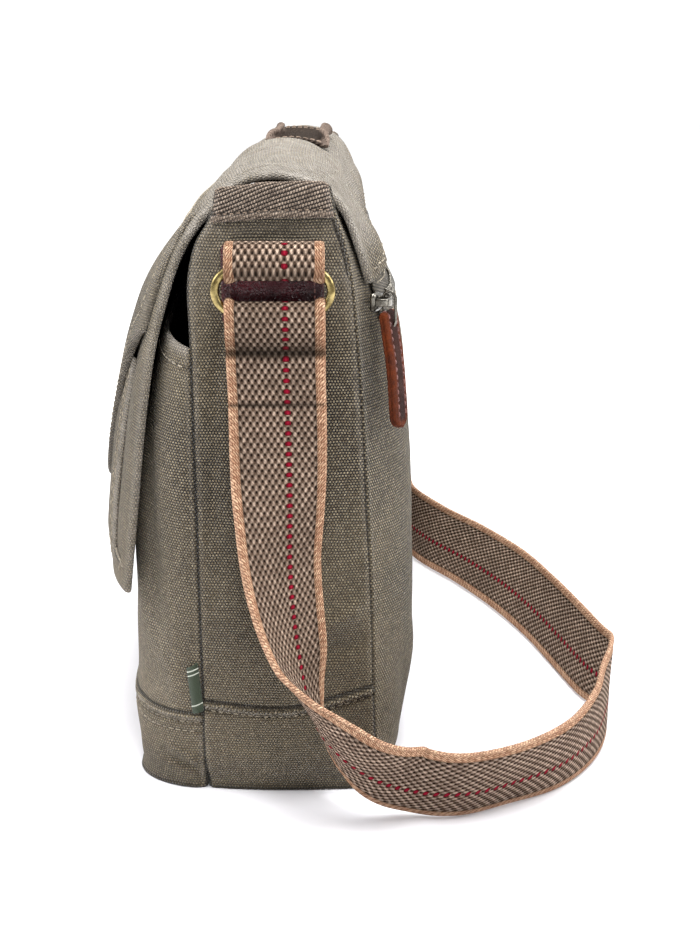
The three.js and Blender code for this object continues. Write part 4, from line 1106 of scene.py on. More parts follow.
def binding_pieces():
    """Ribbed tape folded over the top edge of each end panel."""
    radius = CANVAS / 2 + GAP + TAPE
    crown = END_TOP + GAP + TAPE - radius
    rise = crown - BINDING["outer_foot"]
    turn = math.pi * radius
    fall = crown - BINDING["inner_foot"]
    place = np.linspace(0, rise + turn + fall, 96)[None, :]
    angle = np.clip((place - rise) / radius, 0, math.pi)
    z = BINDING["outer_foot"] + np.minimum(place, rise) + radius * np.sin(angle)
    z = z - np.clip(place - rise - turn, 0, None)
    share = np.linspace(BINDING["front"], BINDING["back"], 90)[:, None]
    base = end_point(share, np.minimum(z, END_TOP))
    out = radius * np.cos(angle) - CANVAS / 2
    points = points_of(base[..., 0] + out, base[..., 1], z - crown_drop(share))
    lines = []
    for word, side in ENDS:
        sheet = Sheet(mirrored(points, side), mirrored(BINDING_MIDDLE, side))
        u = sheet.start - sheet.start[len(share) // 2]
        phase = (sheet.low - RIB_SLOPE * u) / RIB_PITCH - 0.25
        on_tape = smoothstep(sheet.low, BINDING_LIP, BINDING_LIP + 1.2)
        ribs = BINDING["rib"] * np.sin(2 * math.pi * phase) * on_tape
        relief = ribs + marks(sheet, "binding") + uneven("binding", sheet.y, sheet.low)
        for y, half_length, half_width, height in zip(*BINDING_CRESTS.values()):
            relief += height * ridge(sheet.y, y, half_length) * ridge(sheet.low, rise, half_width)
        relief += rolled(sheet.sides, *BINDING_END_ROLL)
        # The ribs are painted paler on their crests and darker between them, as light and shade, and the line
        # at the tape's lip is painted shade.
        wear = ribs + marks(sheet, "binding_wear")
        name = f"binding_tape_{word}"
        sheet.shell(name, TAPE_LOOK, f"top_binding_{word}", TAPE - 0.3, relief, wear, (u, sheet.low))
        lines += sheet.lines("low", (BINDING_LIP,), 1)
    stitches("binding_stitches", lines, (TAN_THREAD, "twill_tape"), pitch=2.6, length=1.7, radius=0.3)


# Front pocket
POCKET_HEM = (6.2, 7.6)
POCKET_RIM_LINE = 7
POCKET_FADE = 0.26
POCKET_FADE_RANGE = (60, 120)
POCKET_FADE_MARGIN = (4, 16)
POCKET_BASE = {"thickness": 1.5, "drop": 3.6, "narrowing": 0.985, "margin": 3, "least": 0.5}


def pocket_wall():
    share = (2 * graded(1, 0.0009, 0.0055, 0.008) - 1)[:, None]
    up = graded(1, 0.005, 0.015, 0.07)[None, :]
    sheet = Sheet(pocket_point(share, lerp(POCKET_BAND_TOP + GAP / 2, pocket_rim_z(share), up)))
    hem = fade_out(sheet.high, *POCKET_HEM)
    relief = uneven("pocket", sheet.end, sheet.z) + folds(POCKET_FOLDS, sheet.end, sheet.z)
    relief = relief * smoothstep(sheet.rim, *FOLD_MARGIN) + 0.5 * hem
    relief += rolled(sheet.sides, *SEAM_ROLL) + rolled(sheet.low, *BAND_ROLL)
    faded = fade_out(sheet.z, *POCKET_FADE_RANGE) * smoothstep(sheet.sides, *POCKET_FADE_MARGIN)
    # Wear at the rim, painted shade along the seams and stitch line, darker low down, and paler cloth low on
    # the pocket away from its seams.
    wear = marks(sheet, "pocket_wear_and_shade") + low_darkening(sheet.z) + POCKET_FADE * faded
    thickness = THIN_CANVAS + 0.8 * hem
    sheet.shell("front_pocket_cloth", CANVAS_LOOK, "front_pocket_wall", thickness, relief, wear)
    return sheet.lines("high", (POCKET_RIM_LINE,), 3)


def pocket_band():
    share = (2 * graded(1, 0.0011, 0.007, 0.12) - 1)[:, None]
    up = graded(1, 0.014, 0.04, 0.3)[None, :]
    sheet = Sheet(pocket_point(share, lerp(FOOT_LIFT, POCKET_BAND_TOP - GAP / 2, up)))
    crest, crest_wear_and_shade = sewn_ridge(sheet, sheet.end, 1.1, 0.45)
    relief = BAND_SWELL + uneven("pocket_band", sheet.end, sheet.z)
    relief += folds(POCKET_BAND_FOLDS, sheet.end, sheet.z)
    relief = relief * smoothstep(sheet.high, *BAND_SWELL_START) * smoothstep(sheet.sides, 0, 5)
    relief += crest + marks(sheet, "pocket_band")
    relief += rolled(sheet.sides, *SEAM_ROLL) + rolled(sheet.low, *FOOT_ROLL)
    # Painted shade along the seams and stitch lines, pale crests with painted shade between the gathers,
    # darker low down with a painted contact shadow at the foot, and a little paler overall.
    wear = marks(sheet, "pocket_band_wear_and_shade") + crest_wear_and_shade + low_darkening(sheet.z) + POCKET_FADE / 2
    sheet.shell("front_pocket_band_cloth", CANVAS_LOOK, "front_pocket_band", THIN_CANVAS, relief, wear)
    return sheet.lines("high", (BAND_LINE, SECOND_BAND_LINE), 3)


def pocket_pieces():
    lines = pocket_wall() + pocket_band()
    stitches("front_pocket_stitches", lines, (PALE_THREAD, "canvas"))

    base = POCKET_BASE
    share = np.linspace(-1, 1, 120)[:, None]
    foot = pocket_point(share, np.full_like(share, POCKET_FOOT))[:, 0]
    front = np.minimum(foot[:, 1:2] + base["margin"], POCKET_SEAM_Y - base["least"])
    y = lerp(np.full_like(front, POCKET_SEAM_Y), front, np.linspace(0, 1, 10)[None, :])
    sheet = Sheet(points_of(foot[:, :1] * base["narrowing"], y, POCKET_FOOT - base["drop"]))
    sheet.shell("front_pocket_base_cloth", CANVAS_LOOK, "front_pocket_base", base["thickness"])


# Flap, its patch pocket and the small flap over it; top, bottom and tip are rows of the flap's profile
FLAP_POCKET = {"half_width": 146, "top": 10.25, "bottom": 12.95, "border": 2, "swell": 4.4, "side": 20,
               "foot": 0.4}
POCKET_FLAP = {"half_width": 163, "top": 7.3, "side_end": 9.6, "tip": 12.1, "tip_half_width": 100,
               "border": 2.1, "lift": 7, "lifted": 9.2, "end_lift": 4.4, "end_lying": 56}
HEM_SOFTNESS = 0.8
GATHERS = {"pitch": 23, "height": 1.5, "place": 10, "half_width": 13, "margin": 14}
SHOULDER_DENT = {"depth": 1.8, "place": 85, "half_width": 11}
# The flap's top is painted paler, as light falling on it from above.
FLAP_TOP_PAINTED_LIGHT = 0.7

# Distances on the flap over which something comes in or fades out
FLAP_SEAM_RANGE = (4, 20)
FLAP_SIDE_RANGE = (2, 12)
FLAP_TOP_RANGE = (92, 112)
DENT_RANGE = (6, 30)
# Where the painted shade along the flap's hem line starts
HEM_SHADE_RANGE = (49.2, 50.8)


def hemmed(distance, width):
    return fade_out(distance, width - HEM_SOFTNESS, width + HEM_SOFTNESS)


def flap_piece():
    x = centred(FLAP_HALF_WIDTH, 2.6, 11)
    sheet = Sheet(flap_point(x, flap_rows()))
    x = np.broadcast_to(x[:, None], sheet.low.shape)
    hem = hemmed(sheet.loose, HEM_WIDTH)
    past_seam = smoothstep(sheet.low, *FLAP_SEAM_RANGE)
    relief = uneven("flap", x, sheet.low) + folds(FLAP_FOLDS, x, sheet.low)
    relief = relief * smoothstep(sheet.sides, *FLAP_SIDE_RANGE) * past_seam
    drift = uneven("flap_gathers", x, sheet.low * 0)
    gather = GATHERS["height"] * (np.sin(2 * math.pi * x / GATHERS["pitch"] + drift) + 1)
    gather = gather * ridge(sheet.low, GATHERS["place"], GATHERS["half_width"])
    dent = SHOULDER_DENT["depth"] * ridge(sheet.low, SHOULDER_DENT["place"], SHOULDER_DENT["half_width"])
    relief += gather * smoothstep(sheet.sides, 0, GATHERS["margin"])
    relief += 1.3 * hem + marks(sheet, "flap") - dent * fade_out(sheet.sides, *DENT_RANGE)
    # Painted light on the flap's top, worn pale edges, and on the hanging part painted shade along the hem's
    # stitch line.
    wear = FLAP_TOP_PAINTED_LIGHT * past_seam * fade_out(sheet.low, *FLAP_TOP_RANGE) + marks(sheet, "flap_wear")
    wear += marks(sheet, "flap_hem_shade") * smoothstep(sheet.low, *HEM_SHADE_RANGE)
    piece = sheet.shell("flap_cloth", CANVAS_LOOK, "flap", FLAP_CLOTH - 0.5 + 1.4 * hem, relief, wear)
    return sheet.lines("start end high", (HEM_WIDTH,), 4) + sheet.lines("low", (3,), 3)


def flap_pocket():
    shape = FLAP_POCKET
    x = centred(shape["half_width"], 2.6, 9)
    rows = lerp(shape["top"], shape["bottom"], graded(1, 0.012, 0.025, 0.1))
    sides = smoothstep(shape["half_width"] - np.abs(x), 0, shape["side"])[:, None]
    foot = smoothstep(shape["bottom"] - rows, 0, shape["foot"])[None, :]
    sheet = Sheet(stand_off(flap_point, x, rows, lerp(shape["border"], shape["swell"], sides * foot)))
    relief = uneven("flap_pocket", sheet.start, sheet.low) * smoothstep(sheet.loose, 6, 16)
    relief += rolled(sheet.loose, *EDGE_ROLL)
    wear = marks(sheet, "flap_pocket_wear")
    sheet.shell("flap_pocket_cloth", CANVAS_LOOK, "flap_pocket", THIN_CANVAS - 0.4, relief, wear)
    return sheet.lines("start end high", (3.5, 8), 4)


def pocket_flap():
    shape = POCKET_FLAP
    x = centred(shape["half_width"], 2.6, 9)
    inset = shape["half_width"] - np.abs(x)
    reach = smoothstep(inset, 0, shape["half_width"] - shape["tip_half_width"])
    ends = lerp(shape["side_end"], shape["tip"], reach)
    lifts = lerp(shape["end_lift"], shape["lift"], smoothstep(inset, 0, shape["end_lying"]))
    points = []
    for place, end, height in zip(x, ends, lifts):
        row = lerp(shape["top"], end, graded(1, 0.007, 0.014, 0.07))
        lift = lerp(shape["border"], height, smoothstep(row, shape["top"], shape["lifted"]))
        points.append(stand_off(flap_point, np.array([place]), row, lift[None, :])[0])
    sheet = Sheet(np.array(points))
    hem = hemmed(sheet.loose, SMALL_HEM_WIDTH)
    relief = uneven("pocket_flap", sheet.start, sheet.low) * smoothstep(sheet.loose, 4, 14) + 0.3 * hem
    relief += rolled(sheet.low, *EDGE_ROLL)
    lying = fade_out(sheet.sides, 16, 46) * smoothstep(sheet.low, 2, 16)
    thickness = THIN_CANVAS - 0.2 + 1.1 * hem + 1.7 * lying
    wear = marks(sheet, "pocket_flap_wear_and_shade")
    piece = sheet.shell("pocket_flap_cloth", CANVAS_LOOK, "pocket_flap", thickness, relief, wear)
    return sheet.lines("start end high", (SMALL_HEM_WIDTH,), 4) + sheet.lines("low", (3, 8), 3)


def flap_pieces():
    lines = flap_piece() + flap_pocket() + pocket_flap()
    stitches("flap_stitches", lines, (PALE_THREAD, "canvas"))


# Leather tabs and patches; near and far are shares of the front pocket
CLOSURE_TAB = {"near": 0.41, "far": 0.5, "bottom": 94, "top": 150, "corner": 7, "half_width": 13, "curl": 3,
               "curled": 22}
PATCH = {"front": -31.5, "back": 6.5, "bottom": 204, "top": 236, "corner": 3}
LEATHER_LINE = 3


def rounded_share(share, distance, radius, half_width):
    """Share of a strip's half width, drawn in near its end so that the corners are round."""
    past = np.clip(1 - distance / radius, 0, 1)
    return share * (1 - radius / half_width * (1 - np.sqrt(1 - past ** 2)))


def closure_tab(share, word, side):
    tab = CLOSURE_TAB
    z = np.linspace(tab["bottom"], tab["top"], 60)[None, :]
    middle, half = (tab["near"] + tab["far"]) / 2, (tab["far"] - tab["near"]) / 2
    across = middle + half * rounded_share(share, z - tab["bottom"], tab["corner"], tab["half_width"])
    sheet = Sheet(mirrored(stand_off(pocket_point, across, z, GAP + LEATHER), side))
    relief = rolled(sheet.rim, *LEATHER_ROLL) + marks(sheet, "closure_tab")
    relief += tab["curl"] * fade_out(sheet.low, 0, tab["curled"]) ** 2
    wear = marks(sheet, "closure_tab_wear")
    name = f"closure_leather_{word}"
    sheet.shell(name, BROWN_LOOK, f"closure_tab_{word}", LEATHER - 0.3, relief, wear)
    return sheet.lines("start end low", (LEATHER_LINE,), 3)


def ring_patch(share, word, side):
    patch = PATCH
    z = np.linspace(patch["bottom"], patch["top"], 40)[None, :]
    middle, half = (patch["back"] + patch["front"]) / 2, (patch["back"] - patch["front"]) / 2
    end = np.minimum(z - patch["bottom"], patch["top"] - z)
    y = middle + half * rounded_share(share, end, patch["corner"], half)
    points = end_point((y - front_y(z)) / (seam_y(z) - front_y(z)), z)
    sheet = Sheet(mirrored(points + np.array((GAP + PATCH_LEATHER, 0, 0)), side))
    relief = rolled(sheet.rim, *LEATHER_ROLL) + marks(sheet, "ring_patch")
    name = f"ring_patch_leather_{word}"
    sheet.shell(name, MAROON_LOOK, f"ring_patch_{word}", PATCH_LEATHER - 0.2, relief)
    return sheet.lines("start end low high", (LEATHER_LINE,), 3)


def leather_pieces():
    lines = []
    share = np.linspace(-1, 1, 24)[:, None]
    for word, side in ENDS:
        lines += closure_tab(share, word, side) + ring_patch(share, word, side)
    stitches("leather_stitches", lines, (DARK_THREAD, "dark_leather"), pitch=2.8, length=2, radius=0.3)


# Carry handle
HANDLE = {"y": -7.4, "half_width": 13.8, "half_length": 56, "flat": 9.6, "roll": 1.5, "thickness": 1.7,
          "clearance": 0.2, "foot": 24, "open": 0.15, "sink": 2.8, "rim": 1.2}


def handle_piece():
    """Webbing whose two edges roll up and in, and lie open at its two sewn ends."""
    shape = HANDLE
    x = centred(shape["half_length"], 1.6, 6)
    across = np.linspace(-1, 1, 56)[None, :] * shape["half_width"]
    grip = lerp(1, shape["open"], smoothstep(np.abs(x), shape["foot"], shape["half_length"]))[:, None]
    bend = grip / shape["roll"]
    past = np.clip(np.abs(across) - shape["flat"], 0, None)
    flat = np.minimum(np.abs(across), shape["flat"])
    y = shape["y"] + np.sign(across) * (flat + np.sin(past * bend) / bend)
    rolled_up = (1 - np.cos(past * bend)) / bend
    lying = flap_top_z(x, y)
    level = flap_top_z(x, np.full(y.shape, float(shape["y"])))
    z = lerp(lying, level, grip) + rolled_up + shape["clearance"] + shape["thickness"] - shape["sink"] * grip
    sheet = Sheet(points_of(x[:, None], y, z), None)
    trough = fade_out(np.abs(across), shape["flat"] - 1, shape["flat"] + 3)
    thickness = shape["thickness"] + shape["rim"] * (1 - trough) * grip
    relief = uneven("handle", sheet.start, sheet.low)
    # The rolled rims are painted a little paler, as light catching them, and the trough between them is
    # painted dark, as shade.
    wear = 0.15 - 1.05 * trough
    sheet.shell("handle_webbing", HANDLE_LOOK, "carry_handle", thickness, relief, wear, (across, sheet.start))
    stitches("handle_stitches", sheet.lines("start end", (3, 9), 3), (TAN_THREAD, "webbing"))


# Ring tabs, rings and strap
TO_FRONT = np.array((0.0, -1, 0))
EDGE_PAST_STRAIGHT = STRAP_WIDTH / 2 - RING_STRAIGHT
EDGE_BOW = RING_HALF_HEIGHT - math.sqrt(RING_HALF_HEIGHT ** 2 - EDGE_PAST_STRAIGHT ** 2)
UPPER_BAR = RING_CENTRE[2] + RING_HALF_HEIGHT
LOWER_BAR = RING_CENTRE[2] - RING_HALF_HEIGHT
BEHIND_RING = RING_CENTRE[0] - LOOP_RADIUS
IN_FRONT_OF_RING = RING_CENTRE[0] + LOOP_RADIUS
TAB_TOP = 236
TAB_BEND = TAB_TOP - 5
TAB_SHADE = (223, 232)
STRAP_FOLD_END = 170
TURN_STEPS = 24
BOW_START = 0.77
BOW_SHOWN = 0.6
WOVEN_WIDTH = STRAP_WIDTH - WEBBING
WEBBING_COLUMNS = 34
SELVEDGE = {"width": 3.8, "height": 0.45, "thickness": 0.4, "groove": 0.3, "groove_half": 0.35, "painted_shade": 0.75}

# Lines where the strap's end is sewn to it: the cloth above the first one bulges and lies in its own shade,
# which is painted into its colour, as is the shade in both sewn grooves.
SEWN = {"z": 193.6, "depth": 1.8, "above": 5, "below": 0.7, "shade": 4.5, "line": 0.6, "line_shade": 0.8,
        "second_z": 174.3, "second_half": 0.8, "second_depth": 0.6, "second_shade": 0.7, "painted_shade": 1.5}
SEWN_REACH = 120
SEWN_START = 45


def ring_frame(x, z, bow):
    return (*points_of(x, WEBBING_Y, z), *TO_FRONT, 0, bow)


def mirrored_frames(frames, side):
    return np.array(frames) * np.array((side, 1, 1, side, 1, 1, 1, 1))


def turn_round(bar_z, up, bow):
    """Half turn of webbing round one bar of the ring, from behind it to in front of it."""
    angles = math.pi * (1 - np.arange(TURN_STEPS + 1) / TURN_STEPS)
    xs = RING_CENTRE[0] + LOOP_RADIUS * np.cos(angles)
    zs = bar_z + up * LOOP_RADIUS * np.sin(angles)
    return [ring_frame(x, z, bow) for x, z in zip(xs, zs)]


def even_frames(rows, step):
    """Frames at even steps of length along a smooth curve through rows of frames."""
    rows = np.array(rows)
    dense = np.linspace(0, len(rows) - 1, 60 * len(rows))
    dense = np.clip(dense, 0, len(rows) - 1 - LAST_STEP)
    middles = through(rows[:, :3], dense)
    edges = unit(through(rows[:, 3:6], dense))
    cups_and_bows = sampled(dense, np.arange(len(rows)), rows[:, 6:])
    place = lengths_along(middles)
    where = np.linspace(0, place[-1], int(place[-1] / step))
    return sampled(where, place, np.hstack([middles, edges, cups_and_bows]))


def webbing_sheet(frames):
    """Sheet along frames of middle, edge direction, cup and bow, and the places across it."""
    at, edge, cup, bow = frames[:, :3], frames[:, 3:6], frames[:, 6], frames[:, 7]
    tangent = unit(np.gradient(at, axis=0))
    edge = square_to(tangent, edge)
    face = np.cross(edge, tangent)
    share = -np.cos(np.linspace(0, math.pi, WEBBING_COLUMNS))
    points = at[None] + edge[None] * (share * WOVEN_WIDTH / 2)[:, None, None]
    points[..., 2] += BOW_SHOWN * bow[None, :] * smoothstep(np.abs(share), BOW_START, 1)[:, None]
    sink = cup[None, :] * (1 - share ** 2)[:, None]
    sheet = Sheet(points + face[None] * (WEBBING / 2 - sink)[..., None], None)
    return sheet, np.broadcast_to((share * WOVEN_WIDTH / 2)[:, None], sheet.low.shape)


def strap_rows():
    hook = [
        ring_frame(BEHIND_RING, STRAP_FOLD_END, 0),
        ring_frame(BEHIND_RING, LOWER_BAR - 18, 0),
        ring_frame(BEHIND_RING, LOWER_BAR - 6, EDGE_BOW / 2),
        *turn_round(LOWER_BAR, 1, EDGE_BOW),
        ring_frame(IN_FRONT_OF_RING - 0.9, LOWER_BAR - 6, EDGE_BOW / 2),
    ]
    drop, floor = ([(*row, 0) for row in zip(*rows.values())] for rows in (STRAP_DROP, STRAP_FLOOR))
    return [*hook, *drop, *floor, *mirrored_frames([*hook, *drop][::-1], -1)]


def strap_piece():
    sheet, across = webbing_sheet(even_frames(strap_rows(), 1.5))
    above = sheet.z - SEWN["z"]
    near_ends = (sheet.low < SEWN_REACH) | (sheet.high < SEWN_REACH)
    sewn = near_ends & (sheet.low > SEWN_START) & (sheet.high > SEWN_START)
    pinch = np.where(above > 0, ridge(above, 0, SEWN["above"]), ridge(above, 0, SEWN["below"]))
    second = ridge(sheet.z, SEWN["second_z"], SEWN["second_half"])
    shaded = np.where(above > 0, np.exp(-above / SEWN["shade"]), 0)
    line = shaded + SEWN["line_shade"] * ridge(above, 0, SEWN["line"]) + SEWN["second_shade"] * second

    from_edge = STRAP_WIDTH / 2 - np.abs(across)
    half = SELVEDGE["width"] / 2
    selvedge = np.sqrt(np.clip(1 - ((from_edge - half) / half) ** 2, 0, 1))
    # A painted shade darkens the groove inside each selvedge.
    groove = ridge(from_edge, SELVEDGE["width"] + SELVEDGE["groove"], SELVEDGE["groove_half"])
    relief = -(SEWN["depth"] * pinch + SEWN["second_depth"] * second) * sewn
    relief += SELVEDGE["height"] * selvedge + uneven("strap", across, sheet.low)
    # The fold above the first sewn line and both sewn grooves are painted dark, as shade.
    wear = -SEWN["painted_shade"] * line * sewn - SELVEDGE["painted_shade"] * groove
    thickness = WEBBING - 0.2 + SELVEDGE["thickness"] * selvedge
    sheet.shell("strap_webbing", STRAP_LOOK, "shoulder_strap", thickness, relief, wear, (across, sheet.low))


def ring_tab(word, side):
    rows = [
        ring_frame(BEHIND_RING, TAB_TOP, 0),
        ring_frame(BEHIND_RING, TAB_BEND, -EDGE_BOW / 2),
        *turn_round(UPPER_BAR, -1, -EDGE_BOW),
        ring_frame(IN_FRONT_OF_RING - 1, TAB_BEND, -EDGE_BOW / 2),
        ring_frame(BEHIND_RING + WEBBING + GAP, TAB_TOP, 0),
    ]
    sheet, across = webbing_sheet(mirrored_frames(even_frames(rows, 0.8), side))
    # The tab's lower bend is painted darker, as shade.
    wear = -0.6 * fade_out(sheet.z, *TAB_SHADE)
    name = f"ring_tab_webbing_{word}"
    relief = marks(sheet, "ring_tab")
    sheet.shell(name, STRAP_LOOK, f"ring_tab_{word}", WEBBING - 0.2, relief, wear, (across, sheet.low))
    return sheet.lines("high", (3,), 2)


def strap_pieces():
    strap_piece()
    lines = []
    for word, side in ENDS:
        lines += ring_tab(word, side)
        along, up = slot_points(RING_STRAIGHT, RING_HALF_HEIGHT, 28)
        points = mirrored(RING_CENTRE + points_of(0, along, up), side)
        ring = wire(f"ring_brass_{word}", points, np.array((1.0, 0, 0)), RING_WIRE, 20)
        dress(ring, BRASS_LOOK, f"ring_{word}")
    stitches("webbing_stitches", lines, (TAN_THREAD, "webbing"))


# Zip across the back, with its slider and leather pull
ZIP = {"half_length": 166, "bottom": 203.5, "top": 218.5, "clearance": 0.6, "tape": 1, "line": 1.6}
TOOTH = {"half_length": 158, "pitch": 1.9, "width": 1.25, "depth": 1.3, "reach": 2.6, "offset": 0.9,
         "sides": 8}
TOOTH_RINGS = table(RING_COLUMNS, ((-0.5, 0, 0.8), (-0.42, 0, 1), (0.3, 0, 1), (0.5, 0, 0.6)))
SLIDER = {"x": 170.0, "z": 211.5, "sole": 0.6, "depth": 2.4, "half_length": 4.2, "wide": 2.6, "nose": 1.5}
SLIDER_TAPER = (-3.5, 0.5)
BRIDGE = table("along out", (
    (-3.9, 2.8), (-3.7, 5.4), (-2.6, 6.9), (0, 7.4), (2.6, 6.9), (3.7, 5.4), (3.9, 2.8)))
BRIDGE_WIDTH = 2.2
BRIDGE_THICKNESS = 1.1
BAIL = {"wire": 0.6, "radius": 2.6, "straight": 4.4, "out": 7, "up": -2.8}
PULL = {"half_width": 5.2, "layer": 1.75, "half_thickness": 1.9, "top": -3.2, "foot": -49.8, "lean": 10,
        "hang": -8, "corner": 5, "bend": 2.2, "line": 2.2}
PULL_BEND_RANGE = (10, 50)
PULL_ROLL = (1.6, 0.35)
PULL_WEAR_RANGE = (1, 3.4)
OFF_TAPE = ZIP["clearance"] + ZIP["tape"] + GAP
UP = np.array((0.0, 0, 1))


def slider_frame():
    """Places by distance along the zip, out from the cloth and up, with the direction along."""
    x, z = np.array([SLIDER["x"]]), np.array([SLIDER["z"]])
    foot = stand_off(back_point, x, z, OFF_TAPE)[0]
    out = unit((foot - back_point(x, z)[0]) * np.array((1, 1, 0)))
    along = np.cross(out, UP)

    def place(a, o, u):
        return foot + points_of(a, o, u) @ np.array((along, out, UP))

    return place, along


def zip_tape_and_teeth():
    x, z = np.broadcast_arrays(
        np.linspace(-1, 1, 220)[:, None] * ZIP["half_length"],
        np.linspace(ZIP["bottom"], ZIP["top"], 16)[None, :],
    )
    sheet = Sheet(stand_off(back_point, x, z, ZIP["clearance"] + ZIP["tape"]))
    sheet.shell("zip_tape_cloth", ZIP_TAPE_LOOK, "zip_tape", ZIP["tape"] - 0.3, uneven("zip_tape", x, z))
    stitches("zip_stitches", sheet.lines("low high", (ZIP["line"],), 3), (PALE_THREAD, "canvas"))

    number = np.arange(2 * int(2 * TOOTH["half_length"] / TOOTH["pitch"]))
    x = -TOOTH["half_length"] + (number // 2 + 0.5 * (number % 2)) * TOOTH["pitch"]
    upward = np.where(number % 2, 1.0, -1.0)
    z = SLIDER["z"] + upward * TOOTH["offset"]
    low, high = (stand_off(back_point, x, z, OFF_TAPE + depth) for depth in (0, TOOTH["depth"]))
    out = unit(high - low)
    along = square_to(out, points_of(0, 0, -upward))
    sizes = [TOOTH[key] for key in ("reach", "width", "depth", "sides")]
    teeth = beads("zip_teeth", (low + high) / 2, along, out, TOOTH_RINGS, *sizes)
    dress(teeth, NICKEL_LOOK, "zip_chain")


def slider_and_bail(place, along):
    length = (np.linspace(-1, 1, 14) * SLIDER["half_length"])[:, None]
    width = lerp(SLIDER["nose"], SLIDER["wide"], smoothstep(length, *SLIDER_TAPER))
    width = width * np.linspace(-1, 1, 12)[None, :]
    body = Sheet(place(length, SLIDER["sole"] + SLIDER["depth"], width), place(0.0, 0.0, 0.0))
    body.shell("zip_slider_body", NICKEL_LOOK, "zip_slider", SLIDER["depth"])
    rows = points_of(BRIDGE["along"], BRIDGE["out"], 0)
    path = through(rows, np.linspace(0, len(rows) - 1 - LAST_STEP, 40))
    across = np.linspace(-1, 1, 8)[None, :] * BRIDGE_WIDTH / 2
    bridge = Sheet(place(path[:, :1], path[:, 1:2], across), place(0.0, 2.0, 0.0))
    bridge.shell("zip_slider_bridge", NICKEL_LOOK, "", BRIDGE_THICKNESS)
    up, far = slot_points(BAIL["straight"], BAIL["radius"], 20)
    loop = place(0.0, BAIL["out"] + far, BAIL["up"] + up)
    dress(wire("zip_bail_wire", loop, along, BAIL["wire"], 12), NICKEL_LOOK, "zip_bail")


def pull_piece(place):
    """Leather strip folded over at its top, hanging from the bail."""
    half = PULL["half_thickness"]
    leg = PULL["top"] - half - PULL["foot"]
    turn = math.pi * half
    along_strip = np.linspace(0, 2 * leg + turn, 150)[:, None]
    angle = np.clip((along_strip - leg) / half, 0, math.pi)
    climb = np.minimum(along_strip, leg) - np.clip(along_strip - leg - turn, 0, None)
    up = PULL["foot"] + climb + half * np.sin(angle)
    out = half * np.cos(angle)
    end = np.minimum(along_strip, 2 * leg + turn - along_strip)
    share = np.linspace(-1, 1, 18)[None, :]
    width = PULL["half_width"] * rounded_share(share, end, PULL["corner"], PULL["half_width"])
    bend = PULL["bend"] * smoothstep(-up, *PULL_BEND_RANGE) ** 2
    lean = math.radians(PULL["lean"])
    from_hang = up - PULL["hang"]
    leaned_out = BAIL["out"] + out * math.cos(lean) - from_hang * math.sin(lean) - bend
    leaned_up = PULL["hang"] + out * math.sin(lean) + from_hang * math.cos(lean)
    sheet = Sheet(place(width, leaned_out, leaned_up), None)
    relief = rolled(sheet.rim, *PULL_ROLL) + marks(sheet, "zip_pull")
    wear = 1.2 * fade_out(sheet.rim, *PULL_WEAR_RANGE)
    sheet.shell("zip_pull_leather", BROWN_LOOK, "zip_pull", PULL["layer"], relief, wear)
    lines = sheet.lines("low high", (PULL["line"],), 5)
    stitches("zip_pull_stitches", lines, (DARK_THREAD, "brown_leather"), pitch=3, length=2.1, radius=0.32)


def zip_pieces():
    zip_tape_and_teeth()
    place, along = slider_frame()
    slider_and_bail(place, along)
    pull_piece(place)


# Folded label in the front seam at the right end: y and z of its corners
LABEL_FRONT = table("y z", ((-49.4, 38), (-51.3, 58.4)))
LABEL_BACK = table("y z", ((-45, 39.4), (-46.8, 61)))
LABEL = {"height": 58.0, "stand_off": 1, "bow": 0.5, "tuck": 0.6, "thickness": 0.9}


def label_piece():
    across = np.linspace(0, 1, 14)[:, None]
    up = np.linspace(0, 1, 40)[None, :]
    y, z = (lerp(lerp(*LABEL_FRONT[key], up), lerp(*LABEL_BACK[key], up), across) for key in ("y", "z"))
    x = end_x(LABEL["height"]) + GAP + LABEL["stand_off"]
    x = x + LABEL["bow"] * np.sin(across * math.pi) - LABEL["tuck"] * (1 - across) ** 2
    sheet = Sheet(points_of(x, y, z))
    sheet.shell("side_label_cloth", LABEL_LOOK, "side_label", LABEL["thickness"], uneven("label", y, z))


# Stage, in metres: a pale floor painted darker near the bag, as a falloff of light, four soft lights, and a
# studio that is darker towards +X
FLOOR_SIZE = 6.0
BAG_HEART = (0, 0, 0.13)
LIGHTS = (
    {"name": "top_light", "place": (-0.1, 0.05, 1.5), "size": 1.2, "power": 17},
    {"name": "end_light", "place": (0.62, 0.05, 1.35), "size": 0.35, "power": 13},
    {"name": "left_light", "place": (0.1, -1.4, 0.9), "size": 1.0, "power": 14.5},
    {"name": "right_light", "place": (0.1, 1.4, 0.9), "size": 1.0, "power": 16.5},
)
WORLD_BRIGHT = 1.25
WORLD_DIM = 0.45
WORLD_DIM_FROM = 0.8
CAMERA_PLACE = (0.675, 0.017, 0.302)
CAMERA_PITCH = math.radians(17.4)
LENS = 50.16
SENSOR_WIDTH = 36


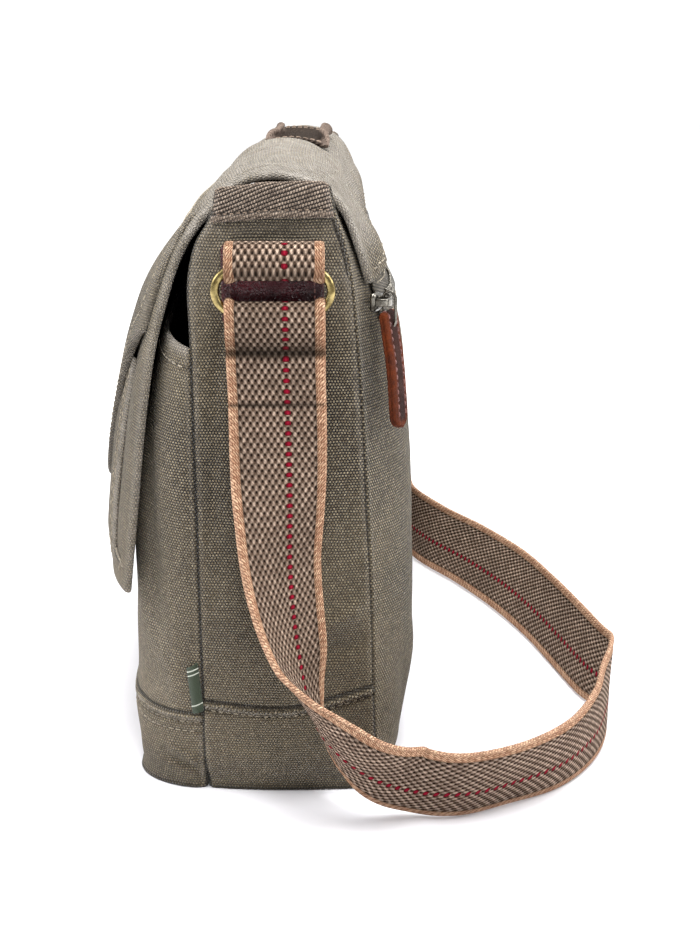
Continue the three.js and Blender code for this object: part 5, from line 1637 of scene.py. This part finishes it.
def put_in_scene(name, data):
    thing = bpy.data.objects.new(name, data)
    bpy.context.scene.collection.objects.link(thing)
    return thing


def make_floor():
    mesh = bpy.data.meshes.new("floor")
    corners = [(x * FLOOR_SIZE, y * FLOOR_SIZE, 0) for x, y in ((-1, -1), (1, -1), (1, 1), (-1, 1))]
    mesh.from_pydata(corners, [], [(0, 1, 2, 3)])
    mesh.materials.append(floor_material())
    put_in_scene("floor", mesh)


def make_lights():
    for row in LIGHTS:
        light = bpy.data.lights.new(row["name"], "AREA")
        light.shape = "DISK"
        light.size = row["size"]
        light.energy = row["power"]
        lamp = put_in_scene(row["name"], light)
        lamp.location = row["place"]
        direction = Vector(BAG_HEART) - Vector(row["place"])
        lamp.rotation_euler = direction.to_track_quat("-Z", "Y").to_euler()


def make_world():
    world = bpy.data.worlds.new("studio")
    world.use_nodes = True
    nodes, links = world.node_tree.nodes, world.node_tree.links
    direction = nodes.new("ShaderNodeTexCoord")
    split = nodes.new("ShaderNodeSeparateXYZ")
    shade = nodes.new("ShaderNodeMapRange")
    for socket, value in zip(shade.inputs[1:5], (0.0, WORLD_DIM_FROM, WORLD_BRIGHT, WORLD_DIM)):
        socket.default_value = value
    links.new(direction.outputs["Generated"], split.inputs[0])
    links.new(split.outputs[0], shade.inputs[0])
    links.new(shade.outputs[0], nodes["Background"].inputs["Strength"])
    nodes["Background"].inputs["Color"].default_value = (1, 1, 1, 1)
    bpy.context.scene.world = world
    bpy.context.scene.view_settings.view_transform = "Standard"


def make_camera():
    data = bpy.data.cameras.new("camera")
    data.lens = LENS
    data.sensor_width = SENSOR_WIDTH
    camera = put_in_scene("camera", data)
    camera.location = CAMERA_PLACE
    camera.rotation_euler = Euler((math.pi / 2 - CAMERA_PITCH, 0, math.pi / 2))
    bpy.context.scene.camera = camera


end_pieces()
front_and_bottom()
back_piece()
binding_pieces()
pocket_pieces()
flap_pieces()
leather_pieces()
handle_piece()
strap_pieces()
zip_pieces()
label_piece()
make_floor()
make_lights()
make_world()
make_camera()
